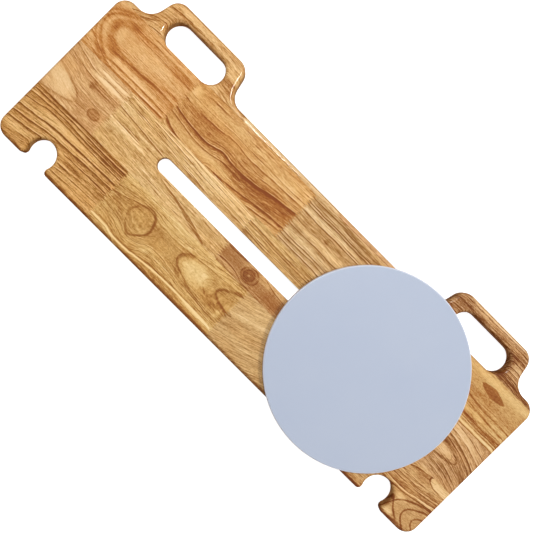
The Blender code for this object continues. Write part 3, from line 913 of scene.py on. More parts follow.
def handle_wood_2():
    """Pale strip along the grip side."""
    wood = Wood("wood_handle_2", (240, 212, 166), (222, 186, 134), (190, 142, 88), pitch=6.0, seed=2.1)
    wood.lines((119.6,), 0.6, 1.0, 0.2)
    return wood.finish()


def handle_wood_3():
    """Tan strip along the grip side, partly under the disc."""
    wood = Wood("wood_handle_3", (228, 186, 138), (204, 162, 114), (166, 112, 66), pitch=5.0, seed=4.4)
    wood.lines((120.0,), 0.6, 1.6, 0.4)
    return wood.finish()


def handle_wood_4():
    """Red-brown right grip with dark dashes."""
    course = ((170, -3), (225, -1), (300, 0), (340, 0), (362, -3), (400, -7))
    wood = Wood("wood_handle_4", (222, 184, 134), (184, 138, 94), (136, 86, 50),
                course=course, pitch=5.5, seed=6.2)
    wood.lines((169.6,), 0.8, 1.6, 0.4, (222, 350))
    wood.lines((165.8, 157.0, 150.2, 142.4, 137.0, 131.2, 126.8, 122.2), 0.7, 1.3, 0.42, (318, 400))
    wood.lines((162.0, 150.5, 147.0), 0.6, 1.2, 0.3, (170, 236))
    # Painted highlight: a pale line along the grip's top edge.
    wood.patch((285, 171), (50, 2.0), -0.25)
    wood.patch((222, 152), (16, 22), 0.14, -12)
    wood.patch((345, 124), (46, 6), 0.18)
    # Painted shade on the right wall of the hand hole.
    wood.patch((328, 141), (7, 18), 0.26)
    return wood.finish()


def upper_wood_1():
    """Orange-brown stave whose rings close in an arch at the board's end."""
    wood = Wood("wood_upper_1", (234, 190, 132), (216, 164, 104), (194, 130, 68), pitch=8.0, seed=8.1)
    wood.calm((-370, 86), (26, 34), 0.5)
    wood.bows((-375,), 86, 15, 27, 10.0, 0.34, reach=34, taper=0.025)
    wood.bows((-387,), 86, 22, 38, 3.0, -0.14, reach=46)
    wood.bows((-394,), 86, 26, 44, 3.0, 0.26, reach=50)
    wood.bows((-402,), 86, 28, 50, 2.5, 0.26, reach=50)
    wood.line(1.2, 3.4, 0.34, (-356, 61), (-330, 62.5), (-300, 65), (-270, 67), (-244, 65))
    wood.line(3.0, 9.0, 0.22, (-354, 67), (-330, 66), (-300, 67.5), (-270, 72), (-244, 77))
    wood.line(1.6, 2.6, 0.5, (-358, 48), (-300, 49.5), (-244, 48.5))
    wood.line(1.4, 2.4, 0.42, (-352, 41), (-290, 42.5), (-244, 42))
    wood.line(1.4, 1.6, 0.4, (-290, 42), (-265, 42.5), (-244, 42))
    wood.line(1.2, 6.0, 0.26, (-354, 104), (-325, 105.5), (-290, 107), (-244, 105.5))
    wood.line(0.7, 0.9, 0.34, (-356, 99.5), (-300, 98), (-244, 97))
    wood.line(0.7, 1.2, 0.26, (-352, 112.5), (-300, 112), (-244, 112.5))
    wood.patch((-262, 102), (15, 4.5), 0.18, 0, 0.9)
    wood.patch((-310, 87), (44, 9), -0.2)
    wood.patch((-310, 54), (46, 2.6), -0.2)
    wood.patch((-365, 86), (8, 14), -0.16)
    wood.line(0.8, 2.0, 0.25, (-398, 62), (-380, 55), (-360, 46), (-340, 42))
    wood.line(0.8, 2.0, 0.25, (-398, 50), (-380, 44), (-360, 39))
    wood.finger_lines((UPPER_JOINTS[0],), 0.16)
    return wood.finish()


def upper_wood_2():
    """Brown stave with one strong wavy line and a red-brown zone below it."""
    wave = ((-244, 7), (-225, 2), (-205, 0), (-185, -1), (-168, 1.5), (-152, 4.5), (-138, 3), (-120, 2.5),
            (-100, 4), (-80, 7.5), (-60, 11.5), (-24, 17))
    top = ((-244, 1), (-200, 0), (-150, 1.5), (-110, 0.5), (-24, 2.5))
    wood = Wood("wood_upper_2", (230, 188, 126), (206, 154, 92), (170, 108, 56),
                course=top, pitch=9.0, seed=11.7, under=wave, middle_y=84)
    wood.calm((-190, 94), (64, 22), 0.5)
    wood.calm((-200, 50), (50, 12), 0.4)
    wood.line(0.7, 2.4, 0.55, *[(x, y + 64.0) for x, y in wave])
    wood.line(0.5, 9.0, 0.4, *[(x, y + 64.4) for x, y in wave])
    wood.line(24.0, 20.0, -0.16, (-246, 102), (-120, 101), (-60, 103), (-24, 106))
    wood.line(0.8, 1.8, 0.4, (-246, 61), (-220, 57), (-200, 54.5), (-175, 54), (-158, 57), (-135, 60),
              (-110, 59))
    wood.line(0.9, 4.5, 0.5, (-160, 40), (-130, 41.5), (-100, 45), (-70, 50), (-45, 53), (-24, 54.5))
    wood.line(0.8, 2.5, 0.42, (-88, 38.5), (-60, 43.5), (-24, 48))
    wood.line(1.4, 5.0, 0.5, (-246, 50), (-236, 46), (-225, 42), (-205, 39), (-190, 38))
    wood.line(0.7, 2.6, 0.32, (-215, 86), (-185, 87), (-150, 91), (-125, 88.5), (-80, 90), (-24, 93.5))
    wood.line(0.7, 1.6, 0.28, (-120, 74), (-90, 80), (-60, 84), (-24, 88.5))
    wood.line(0.7, 1.4, 0.28, (-175, 70), (-160, 73.5), (-148, 75), (-130, 71))
    wood.line(0.6, 1.2, 0.28, (-246, 97), (-205, 95.5), (-150, 98), (-100, 97), (-24, 99))
    wood.line(0.9, 1.4, 0.26, (-210, 110), (-185, 110.5), (-165, 110))
    wood.line(0.7, 1.3, 0.28, (-140, 106), (-100, 108.5), (-24, 109.5))
    wood.patch((-72, 62), (62, 13), 0.26, 6)
    wood.patch((-196, 82), (30, 7), 0.16, 0, 0.8)
    wood.line(0.7, 1.6, 0.4, (-246, 88), (-238, 87), (-228, 85.6))
    wood.line(1.0, 2.6, 0.4, (-222, 109.5), (-205, 110), (-185, 109.5))
    wood.patch((-238, 103), (8, 6), -0.26, 0, 0.9)
    wood.patch((-150, 48), (40, 5), -0.12)
    wood.finger_lines(UPPER_JOINTS[:2], 0.16)
    return wood.finish()


def upper_wood_3():
    """Pale straw stave with thin dark streaks."""
    course = ((-24, 1), (0, 0), (30, 0.6), (60, -0.6), (110, 0), (198, 0))
    wood = Wood("wood_upper_3", (226, 192, 140), (200, 160, 108), (168, 124, 74),
                course=course, pitch=4.4, seed=14.2)
    wood.lines((105.6, 102.4), 0.7, 1.2, 0.72)
    wood.lines((113.8,), 0.7, 1.0, 0.5, (-24, 34))
    wood.lines((111.8,), 0.7, 1.0, 0.4, (40, 200))
    wood.lines((91.8,), 0.8, 1.0, 0.74)
    wood.lines((66.2, 48.6), 0.7, 0.9, 0.6)
    wood.lines((52.6, 42.0), 0.8, 1.1, 0.72)
    wood.lines((97.8, 77.4, 59.0), 0.6, 1.2, 0.2)
    wood.patch((50, 109), (90, 8), 0.14)
    wood.patch((10, 97), (60, 2.6), -0.3)
    wood.patch((40, 72), (60, 4), -0.28)
    wood.patch((20, 59), (60, 4), -0.2)
    wood.patch((31, 82), (4, 2.6), 0.36)
    wood.finger_lines(UPPER_JOINTS[1:], 0.2)
    return wood.finish(1.2)


def upper_wood_4():
    """Pale yellow stave with a dark spindle-shaped knot."""
    wood = Wood("wood_upper_4", (226, 190, 130), (206, 164, 106), (170, 112, 62), pitch=9.0, seed=17.4)
    wood.calm((350, 97), (60, 16), 0.75)
    wood.spindle((341, 98.6), (21, 7.4), 0.42, -4)
    wood.line(3.0, 1.6, 0.42, (300, 80), (330, 75), (350, 73.6), (400, 72))
    wood.line(2.4, 1.6, 0.3, (300, 72), (330, 67), (360, 65), (400, 64))
    wood.line(2.0, 8.0, 0.34, (300, 56), (350, 54), (400, 55))
    wood.lines((53.0, 49.0, 46.0), 0.7, 1.1, 0.34, (300, 400))
    wood.lines((40.0,), 1.0, 1.2, 0.5, (300, 400))
    wood.patch((360, 43), (60, 1.3), -0.6)
    wood.patch((350, 111), (60, 6), -0.26, 0, 0.8)
    wood.patch((340, 86), (40, 4), 0.12)
    wood.patch((350, 60.5), (60, 2.2), -0.22)
    return wood.finish(0.8)


def slot_wood_1():
    """Pink-beige stave with a pale patch, a small knot and wavy pale lines."""
    course = ((-400, 10), (-375, 5), (-350, 0), (-297, -1))
    wood = Wood("wood_slot_1", (234, 196, 142), (214, 166, 112), (188, 136, 82),
                course=course, pitch=5.5, seed=20.9)
    wood.calm((-378, -17), (28, 14), 0.6, -20)
    wood.patch((-378, -17), (28, 13), -0.3, -20)
    wood.line(5.0, 2.0, 0.3, (-400, 3), (-385, -1), (-368, -7), (-352, -14), (-344, -22))
    wood.line(2.0, 5.0, 0.32, (-400, -40), (-380, -37), (-358, -32), (-343, -24))
    wood.line(0.8, 1.8, 0.3, (-400, 36), (-375, 30), (-350, 25), (-330, 26), (-297, 25))
    wood.line(0.8, 1.8, 0.38, (-400, 24), (-375, 19), (-350, 15.5), (-320, 14), (-297, 14))
    wood.line(0.8, 1.2, 0.28, (-352, 33), (-330, 33), (-310, 34), (-297, 32))
    wood.patch((-325, 22), (27, 3), -0.6)
    wood.patch((-325, 31), (26, 2), -0.6)
    wood.patch((-372, 33), (26, 4), -0.16, -14)
    wood.patch((-342, 7), (5, 5), 0.26)
    wood.patch((-322, 2), (26, 12), 0.12)
    wood.lines((9.0, -4.0, -8.0), 0.7, 1.4, 0.24, (-352, -297))
    wood.patch((-314, -20), (9.5, 7.0), 0.26, 0, 0.25)
    wood.ring((-314, -20), (9.0, 6.6), 0.3, 0.22)
    wood.patch((-338, -22), (12, 3.4), 0.22)
    wood.wedge(((-345, -22), (-325, -24), (-300, -20)), ((-345, -30), (-325, -42), (-300, -42)), 0.12)
    wood.finger_lines(SLOT_JOINTS[:1], 0.2)
    return wood.finish()


def slot_wood_2():
    """Light yellow stave, with a long brown wedge below the slot."""
    course = ((-297, 5), (-200, 1), (-120, -1), (-61, -2))
    wood = Wood("wood_slot_2", (238, 204, 150), (218, 178, 118), (190, 144, 86),
                course=course, pitch=5.0, seed=23.3)
    wood.line(0.8, 1.6, 0.6, (-299, 15), (-270, 12.8), (-240, 10), (-205, 7))
    wood.line(0.6, 1.2, 0.36, (-299, 29), (-260, 26), (-220, 23), (-180, 19.5), (-140, 15), (-110, 13))
    wood.line(0.6, 1.2, 0.3, (-299, 22), (-260, 21), (-200, 18.5), (-160, 15))
    wood.line(0.6, 1.1, 0.46, (-230, 37), (-160, 34), (-110, 31), (-61, 29))
    wood.line(0.6, 1.1, 0.4, (-250, 33), (-200, 31), (-160, 28), (-110, 25), (-61, 22))
    wood.line(0.6, 1.2, 0.3, (-299, 34), (-260, 31), (-220, 28), (-180, 25), (-120, 20), (-61, 17))
    wood.line(0.7, 1.2, -0.7, (-180, 37), (-110, 35.6), (-61, 34.6))
    wood.line(0.7, 1.0, -0.5, (-299, 36), (-262, 35.4), (-225, 33.4), (-180, 31))
    wood.line(0.7, 1.0, -0.4, (-299, 25.6), (-250, 24.4), (-200, 21), (-150, 17.6))
    wood.line(1.0, 1.6, -0.5, (-299, -3), (-270, -4), (-236, -3.6))
    wood.line(0.5, 1.0, 0.34, (-195, 17), (-165, 15.5), (-120, 12.5))
    wood.wedge(((-192, -15), (-150, -22), (-118, -28), (-84, -39.5)),
               ((-192, -17), (-150, -24), (-118, -34), (-84, -41)), 0.3)
    wood.line(0.6, 1.2, 0.34, (-194, -14.6), (-150, -21.5), (-118, -27.5), (-84, -39))
    wood.patch((-262, -8), (32, 4), -0.22)
    wood.patch((-160, 32), (100, 6), -0.12)
    wood.finger_lines(SLOT_JOINTS[:2], 0.14)
    return wood.finish(1.25)


def slot_wood_3_notch():
    """Pink-brown stave with a round knot, below the slot."""
    wood = Wood("wood_slot_3_notch", (214, 172, 116), (188, 140, 90), (160, 104, 58), pitch=9.0, seed=26.8)
    wood.calm((-40, -23), (30, 9), 0.7)
    wood.calm((35, -28), (36, 9), 0.6)
    wood.line(3.0, 2.6, 0.42, (-63, -13), (-48, -13.4), (-35, -12), (-20, -10.6))
    wood.line(0.9, 1.6, 0.5, (-63, -33.6), (-48, -31.6), (-33, -32.6), (-20, -36), (-10, -38.6), (10, -38))
    wood.line(1.0, 1.6, 0.36, (8, -11), (20, -14.6), (34, -17.4), (60, -19.4))
    wood.line(0.6, 1.6, 0.2, (-63, -38.6), (-40, -38), (-20, -39.4))
    wood.patch((-46, -36.4), (22, 2.6), -0.3)
    wood.patch((24, -11.6), (26, 3), -0.16, -6)
    wood.patch((-45, -22), (24, 7), 0.12)
    wood.patch((40, -28), (30, 9), 0.16)
    wood.spindle((-9.4, -23.8), (14.4, 11.4), 0.1, 0)
    wood.ring((-9.6, -23.8), (13.4, 10.4), 0.16, 0.3)
    wood.patch((-10.6, -23.6), (8.8, 8.2), 0.26, 0, 0.2)
    wood.ring((-10.6, -23.6), (8.4, 7.8), 0.2, 0.2)
    wood.patch((-10.6, -24), (2.2, 1.6), -0.36)
    wood.finger_lines(SLOT_JOINTS[1:2], 0.2)
    return wood.finish()


def slot_wood_3_grip():
    """Straw stave above the slot."""
    course = ((-61, 2), (-20, 0.6), (10, 0), (60, 0), (164, -1))
    wood = Wood("wood_slot_3_grip", (226, 190, 130), (204, 162, 102), (164, 116, 66),
                course=course, pitch=4.6, seed=29.5)
    wood.lines((25.0, 17.6), 0.7, 1.2, 0.46)
    wood.lines((28.6, 15.0, 34.0), 0.6, 1.1, 0.3)
    wood.patch((-20, 34), (50, 4), -0.14)
    wood.finger_lines(SLOT_JOINTS[1:2], 0.14)
    return wood.finish(1.2)


def slot_wood_4():
    """Streaky brown stave with a small cathedral that points to the board's end."""
    course = ((300, 6), (338, 4), (365, 1), (385, -5), (400, -10))
    wood = Wood("wood_slot_4", (224, 186, 136), (198, 152, 104), (152, 104, 62),
                course=course, pitch=4.6, seed=32.6)
    wood.bows((373,), -6, 6.0, 1.8, 2.2, 0.36, -1)
    wood.bows((381, 364), -6, 6.5, 2.0, 1.4, 0.18, -1)
    wood.patch((346, -3), (16, 5.5), -0.38)
    wood.line(1.2, 3.6, 0.46, (330, 21), (350, 18), (370, 13), (400, 0))
    wood.line(0.8, 2.0, 0.42, (330, 14.5), (352, 11.5), (372, 6), (400, -6))
    wood.line(0.7, 1.6, 0.3, (330, 27), (355, 24.6), (375, 20), (400, 12))
    wood.line(0.7, 1.4, 0.3, (330, 36), (360, 33.4), (380, 29), (400, 24))
    wood.patch((356, 28), (30, 3.6), -0.3, -10)
    wood.patch((384, -20), (36, 9), 0.2)
    wood.lines((-21.0, -26.4, -33.0), 0.7, 1.2, 0.34)
    return wood.finish(0.88)


def lower_wood_1():
    """Stave with strong dark lines that rise towards the middle."""
    course = ((-400, -12), (-370, -8), (-335, -3), (-300, -1), (-224, 0))
    wood = Wood("wood_lower_1", (230, 186, 122), (206, 156, 94), (158, 104, 50),
                course=course, pitch=6.0, seed=35.2)
    wood.line(1.6, 2.4, 0.5, (-400, -43), (-350, -42), (-300, -42), (-224, -42.4))
    wood.line(0.8, 2.0, 0.55, (-400, -50), (-370, -47), (-340, -46.4), (-300, -47), (-224, -47))
    wood.line(0.8, 1.8, 0.5, (-400, -56), (-370, -53), (-345, -51.4), (-300, -53), (-224, -52))
    wood.line(0.9, 1.6, 0.5, (-400, -65), (-375, -61), (-350, -57), (-310, -57.6), (-224, -57.4))
    wood.line(0.9, 2.8, 0.55, (-400, -78.6), (-370, -75), (-340, -70.6), (-300, -68.6), (-224, -66.4))
    wood.line(0.9, 3.2, 0.58, (-400, -90), (-370, -86), (-340, -80.6), (-310, -78), (-270, -76),
              (-224, -74.6))
    wood.line(0.9, 3.0, 0.5, (-400, -100), (-375, -97), (-352, -92.4), (-335, -88))
    wood.line(0.9, 2.0, 0.42, (-306, -86), (-280, -84.4), (-224, -83.4))
    wood.line(0.9, 3.0, 0.4, (-306, -101), (-280, -98.4), (-255, -96), (-224, -95.4))
    wood.line(0.8, 2.0, 0.34, (-306, -108), (-270, -104), (-224, -103))
    wood.line(0.8, 1.8, 0.3, (-306, -114), (-270, -111.4), (-224, -110))
    wood.line(0.8, 2.2, 0.34, (-372, -110), (-355, -107.4), (-340, -107))
    wood.lines((-43.6, -46.6, -49.6, -52.4, -55.2), 0.5, 1.0, 0.4, (-300, -222))
    wood.patch((-256, -49), (36, 8), 0.2, 0, 0.8)
    wood.patch((-244, -58), (20, 9), 0.14, 0, 0.8)
    wood.patch((-330, -62), (40, 3), -0.2)
    wood.patch((-280, -93), (14, 2.6), 0.2)
    wood.patch((-310, -73), (60, 1.6), -0.26, 3)
    wood.patch((-378, -106), (16, 5), -0.12)
    wood.finger_lines(LOWER_JOINTS[:1], 0.26)
    wood.painted_rim_shade()
    return wood.finish()


def lower_wood_2():
    """Stave with a big ring knot and nested arches that open to the right."""
    over = ((-224, 6), (-205, 11), (-190, 16), (-172, 20.5), (-155, 19), (-135, 17), (-110, 17), (-80, 19),
            (-30, 30), (4, 36))
    bulge = tuple((x, 0.45 * y) for x, y in over)
    sag = ((-224, 0), (-200, -2), (-182, -6), (-166, -10), (-150, -7), (-136, 0), (-120, 2), (-60, -3),
           (4, -7))
    wood = Wood("wood_lower_2", (234, 201, 138), (212, 170, 105), (180, 131, 72),
                course=bulge, pitch=9.0, seed=38.7, under=sag, middle_y=-78)
    wood.calm((-167, -79), (24, 24), 0.4)
    wood.calm((-124, -76), (30, 16), 0.6)
    wood.calm((-62, -74), (40, 20), 0.6)
    wood.calm((-5, -70), (18, 10), 0.5)
    top = [(x, y - 77.5) for x, y in over]
    bottom = ((-224, -90), (-182, -97), (-166, -103), (-150, -99), (-136, -92), (-120, -90), (-80, -94),
              (4, -103))
    wood.wedge(top, bottom, 0.07)
    wood.line(0.9, 2.0, 0.42, *top[:4])
    wood.line(0.8, 1.6, 0.26, *top[3:])
    wood.line(0.7, 1.6, 0.28, (-224, -62), (-200, -55), (-170, -51), (-130, -55), (-90, -52), (-40, -44),
              (4, -40))
    wood.line(0.6, 1.2, 0.24, (-224, -49), (-190, -47.6), (-150, -49), (-100, -48), (-50, -42))
    wood.line(0.7, 1.2, 0.34, (-226, -90), (-200, -93), (-182, -98), (-166, -103), (-150, -100), (-136, -93),
              (-120, -91), (-100, -94), (-60, -98), (4, -103))
    wood.line(4.0, 4.0, 0.12, (-112, -88), (-90, -91), (-60, -96), (-20, -101), (4, -104))
    wood.line(0.7, 1.2, 0.26, (-226, -97), (-195, -101), (-166, -108), (-145, -105), (-110, -100),
              (-60, -104), (4, -108))
    # Painted highlight: a pale, near-white band along the flat just inside the notch-side edge.
    wood.line(1.4, 2.6, -0.9, (-226, -113), (-200, -114), (-168, -117.6), (-140, -115), (-100, -111.6),
              (-60, -110.4), (4, -115))
    wood.line(0.5, 0.7, -0.6, (-182, -44), (-150, -43.4), (-115, -42.6))
    # Painted highlight: paler spots in the same edge band.
    wood.patch((-208, -113.6), (16, 1.7), -0.45)
    wood.patch((-22, -113.4), (26, 1.9), -0.45)
    wood.ring((-168.5, -78.5), (20.5, 23.5), 0.15, 0.3, -4, 0.42, 0.4)
    wood.patch((-139, -74), (9, 13), 0.08)
    wood.patch((-205, -79), (16, 8), 0.1)
    wood.bows((-96,), -74, 14, 12, 5.0, 0.3, reach=20)
    wood.bows((-98,), -73, 14, 11, 1.5, 0.24, reach=70)
    wood.bows((-88,), -74, 13, 12, 4.0, 0.1, reach=40)
    wood.patch((-66, -74), (24, 15), -0.36)
    wood.bows((-49,), -72, 11, 11, 1.6, 0.24, reach=16)
    wood.bows((-27,), -71, 13, 4.8, 3.4, 0.42, reach=60, taper=0.02)
    wood.line(1.0, 3.0, -0.2, (-100, -58), (-80, -50.4), (-50, -46.6), (4, -44))
    wood.patch((-5, -92), (4, 6), -0.3, 0, 0.8)
    wood.finger_lines(LOWER_JOINTS[:2], 0.12)
    wood.painted_rim_shade()
    return wood.finish()


def lower_wood_3():
    """Fine tan stave whose grain runs up to the right."""
    course = ((0, 0), (30, 8), (60, 18), (110, 36), (226, 70))
    wood = Wood("wood_lower_3", (226, 190, 134), (204, 164, 110), (172, 130, 80),
                course=course, pitch=5.0, seed=41.6)
    wood.line(0.8, 1.6, 0.34, (2, -118), (20, -112), (45, -106), (75, -99), (110, -90))
    wood.line(0.8, 1.4, 0.22, (2, -104), (20, -98), (45, -91), (75, -80), (100, -70))
    wood.patch((5, -81), (6, 2.6), 0.3)
    wood.patch((45, -56), (40, 12), -0.14, 20)
    wood.patch((60, -74), (40, 6), -0.1, 25)
    wood.finger_lines(LOWER_JOINTS[1:2], 0.14)
    wood.painted_rim_shade()
    return wood.finish(0.85)


def lower_wood_4():
    """Stave with nested arches at the board's corner, and a pale inlet at its end."""
    course = ((226, -6), (300, -3), (345, 0), (370, 4), (400, 9))
    wood = Wood("wood_lower_4", (230, 192, 136), (204, 160, 106), (160, 106, 62),
                course=course, pitch=6.0, seed=44.3)
    wood.calm((370, -102), (46, 20), 0.7)
    wood.calm((352, -50), (22, 8), 0.6)
    wood.bows((369,), -104, 17, 19, 2.3, 0.44, reach=90, taper=0.01)
    wood.bows((387,), -104, 10, 12, 2.2, 0.36, reach=90, taper=0.01)
    wood.line(2.6, 3.2, 0.46, (330, -88), (338, -93), (346, -98), (350, -103), (354, -108), (360, -113),
              (370, -119))
    wood.line(3.0, 2.6, 0.48, (342, -122), (344, -113), (347, -105), (350, -99), (356, -93), (366, -87),
              (380, -81), (400, -77))
    wood.line(1.0, 1.2, -0.6, (312, -80), (345, -81.4), (370, -77), (400, -70))
    wood.line(0.8, 1.8, 0.4, (312, -84), (345, -84), (370, -80), (400, -73.4))
    wood.line(0.7, 1.4, 0.36, (312, -71), (345, -71), (370, -68.6), (400, -65))
    wood.line(0.7, 1.4, 0.24, (322, -66), (350, -66), (400, -60.6))
    wood.line(0.7, 1.2, 0.28, (320, -59.6), (350, -60), (374, -59))
    wood.line(0.8, 2.6, 0.42, (326, -50), (337, -46), (350, -42.6))
    wood.patch((388, -43.6), (23, 8.6), -0.34, 0, 0.12)
    wood.ring((388, -43.6), (24.4, 9.4), 0.09, 0.55)
    wood.patch((356, -50), (12, 7), 0.1)
    wood.patch((352, -91), (9, 4), -0.26)
    wood.patch((352, -116.6), (7, 4), -0.3)
    wood.patch((344, -106), (4, 14), 0.16)
    wood.painted_rim_shade()
    return wood.finish()


STAVE_WOODS = {
    "handle_stave_1": ("wood_honey", handle_wood_1),
    "handle_stave_2": ("wood_straw", handle_wood_2),
    "handle_stave_3": ("wood_straw", handle_wood_3),
    "handle_stave_4": ("wood_red_brown", handle_wood_4),
    "upper_stave_1": ("wood_honey", upper_wood_1),
    "upper_stave_2": ("wood_tan", upper_wood_2),
    "upper_stave_3": ("wood_tan", upper_wood_3),
    "upper_stave_4": ("wood_tan", upper_wood_4),
    "slot_stave_1": ("wood_honey", slot_wood_1),
    "slot_stave_2": ("wood_straw", slot_wood_2),
    "slot_stave_3_notch_side": ("wood_brown", slot_wood_3_notch),
    "slot_stave_3_grip_side": ("wood_straw", slot_wood_3_grip),
    "slot_stave_4": ("wood_brown", slot_wood_4),
    "lower_stave_1": ("wood_brown", lower_wood_1),
    "lower_stave_2": ("wood_tan", lower_wood_2),
    "lower_stave_3": ("wood_tan", lower_wood_3),
    "lower_stave_4": ("wood_brown", lower_wood_4),
}


# ---- Disc and fittings ----


def plastic_material():
    """Pale lilac-blue moulded plastic with a fine satin grain, and a painted highlight along its rounded rim.
    """
    material, tree, shader = new_material("disc_plastic")
    coordinates = tree.nodes.new("ShaderNodeTexCoord")
    place = Field(tree, coordinates.outputs["Object"])
    cloud = noise(tree, place, 3.0, 0.5, 14.0)
    colour = ramp(tree, cloud + 0.5, ((0.2, linear(180, 192, 213)), (0.8, linear(184, 195, 214))))
    x, y, _ = place_fields(tree)
    rim = (x.squared() + y.squared()).root()
    edge = half_width("seat_disc") / MM
    # Paler band over the rounded rim: a painted highlight along the disc's edge.
    colour = blend_colours(tree, rim.rise(edge - 2.2, edge - 0.9), colour, linear(226, 232, 246))
    grain = noise(tree, place, 2.0, 0.6, 2600.0)
    surface(tree, shader, colour, grain * 0.06 + 0.42, grain, 0.12, 0.03 * MM)
    return material


def make_disc():
    """Seat disc with a rounded rim, a recess for the hub and a groove for the ring."""
    radius = half_width("seat_disc")
    base, top = DISC_LOW.z, DISC_HIGH.z
    hub, hub_top = half_width("hub_flange") + CAD_GAP, FLANGE_HIGH.z + CAD_GAP
    ring, ring_top = half_width("glide_ring") + CAD_GAP, RING_TOP + CAD_GAP
    ring_inner = ring - GLIDE_RING_WIDTH - 2 * CAD_GAP
    profile = [(0, hub_top), (hub, hub_top), (hub, base)]
    profile += [(ring_inner, base), (ring_inner, ring_top), (ring, ring_top), (ring, base)]
    profile += [(radius - DISC_BASE_CHAMFER, base)]
    profile += [(radius - inset, base + height) for inset, height in round_steps(DISC_BASE_CHAMFER, 4)]
    profile += [(radius - inset, top - height) for inset, height in reversed(round_steps(DISC_TOP_ROUND, 8))]
    profile += [(0, top)]
    disc = turned("seat_disc_plastic", profile)
    screw_holes(disc, DISC_SCREWS)
    settle(disc, plastic_material(), "turntable", "seat_disc")


# ---- Mechanism under the disc ----


def shades(tree, value, colour, share, low, high):
    """Colour of a value: darkened to a share of itself up to low, and full from high on."""
    dark = [share * part for part in colour]
    return ramp(tree, value, ((low, (*dark, 1.0)), (high, (*colour, 1.0))))


def machined_plastic(name, colour, roughness, sheer):
    """Natural white engineering plastic with faint tool marks; sheer is its subsurface share."""
    material, tree, shader = new_material(name)
    x, y, z = place_fields(tree)
    cloud = noise(tree, vector(tree, x / 9, y / 9, z / 9), 3.0)
    shade = shades(tree, cloud + 0.5, colour, 0.93, 0.25, 0.75)
    marks = noise(tree, vector(tree, x / 30, y * 2.2, z * 2.6), 2.0, 0.6)
    surface(tree, shader, shade, marks * 0.16 + roughness, marks, 0.2, 0.02 * MM)
    shader.inputs["Subsurface Weight"].default_value = sheer
    shader.inputs["Subsurface Scale"].default_value = 2.0 * MM
    return material


def turned_metal(name, colour, roughness):
    """Metal with fine rings round the object's own Z axis."""
    material, tree, shader = new_material(name)
    x, y, z = place_fields(tree)
    radius = (x.squared() + y.squared()).root()
    rings = noise(tree, vector(tree, radius * 5, z * 3, 0.0), 2.0, 0.6)
    cloud = noise(tree, vector(tree, x / 4, y / 4, z / 4), 2.0)
    shade = shades(tree, cloud * 1.2 + rings * 0.3 + 0.5, colour, 0.82, 0.2, 0.8)
    surface(tree, shader, shade, rings * 0.25 + cloud * 0.2 + roughness, rings, 0.25, 0.02 * MM)
    shader.inputs["Metallic"].default_value = 1.0
    return material


def brushed_metal(name, colour, roughness):
    """Sheet metal brushed along X."""
    material, tree, shader = new_material(name)
    x, y, z = place_fields(tree)
    brushing = noise(tree, vector(tree, x / 8, y * 4, z * 4), 3.0, 0.65)
    cloud = noise(tree, vector(tree, x / 14, y / 14, z / 14), 2.0)
    shade = shades(tree, brushing * 1.4 + cloud * 0.5 + 0.5, colour, 0.8, 0.2, 0.8)
    surface(tree, shader, shade, brushing * 0.3 + roughness, brushing, 0.2, 0.02 * MM)
    shader.inputs["Metallic"].default_value = 1.0
    return material


def hexagon(across_flats):
    """Regular hexagon with two sides parallel to X."""
    return circle_points(across_flats / 2 / math.cos(math.pi / 6), 6)


def ring_section(bore, outer, low, high, ease):
    """Section of a plain ring with eased corners."""
    outside = [(outer - ease, low), (outer, low + ease), (outer, high - ease), (outer - ease, high)]
    return [(bore + ease, low), *outside, (bore + ease, high), (bore, high - ease), (bore, low + ease)]


def eased_plate(name, length, width, low, high, ease, segments):
    """Plate with round ends and eased edges."""
    levels = ((-ease, low), (0.0, low + ease), (0.0, high - ease), (-ease, high))
    return loft(name, [(stadium(length, width, grow, segments), z) for grow, z in levels])


def drill(item, radius, low, high, ease):
    """Round hole through an item's middle, with both of its rims eased."""
    rim = radius + ease
    profile = [(0, low - OVERSHOOT), (rim, low - OVERSHOOT), (rim, low), (radius, low + ease)]
    profile += [(radius, high - ease), (rim, high), (rim, high + OVERSHOOT), (0, high + OVERSHOOT)]
    cut(item, turned("cutter", profile, BORE_SEGMENTS))


def screw_holes(item, nodes):
    """Countersunk clearance holes round screws that are driven from below."""
    for node in nodes:
        low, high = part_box(node)
        head = half_width(node) + CAD_GAP
        shank = half_width(node) / 2 + CAD_GAP
        profile = [
            (0, low.z - OVERSHOOT),
            (head, low.z - OVERSHOOT),
            (head, low.z),
            (shank, low.z + head - shank),
            (shank, high.z + CAD_GAP),
            (0, high.z + CAD_GAP),
        ]
        cutter = turned("cutter", profile, BORE_SEGMENTS)
        cutter.location = ((low.x + high.x) / 2 - AXIS.x, (low.y + high.y) / 2 - AXIS.y, 0.0)
        cut(item, cutter)


def threaded_profile(radius, low, high):
    """Outer side of a threaded shank, from its bevelled end up to high."""
    depth = 0.09 * radius
    profile = [(0, low), (radius - 2 * depth, low), (radius - depth, low + 2 * depth)]
    z = low + 2 * depth
    while z + THREAD_PITCH < high:
        profile.append((radius, z + THREAD_PITCH / 2))
        profile.append((radius - depth, z + THREAD_PITCH))
        z += THREAD_PITCH
    return profile


def make_screw(node, body, material):
    """Countersunk socket screw, driven from below."""
    low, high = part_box(node)
    head = half_width(node)
    shank = head / 2
    ease = 0.12 * MM
    profile = [
        (0, low.z),
        (head - 2 * ease, low.z),
        (head - ease, low.z + ease),
        (shank, low.z + head - shank),
        (shank, high.z - 3 * ease),
        (shank - 3 * ease, high.z),
        (0, high.z),
    ]
    screw = turned(f"{node}_steel", profile, SCREW_SEGMENTS)
    socket = hexagon(SCREW_SOCKET)
    cut(screw, loft("cutter", [(socket, low.z - OVERSHOOT), (socket, low.z + SCREW_SOCKET_DEPTH)]))
    settle(screw, material, body, node, ((low.x + high.x) / 2, (low.y + high.y) / 2, 0.0))


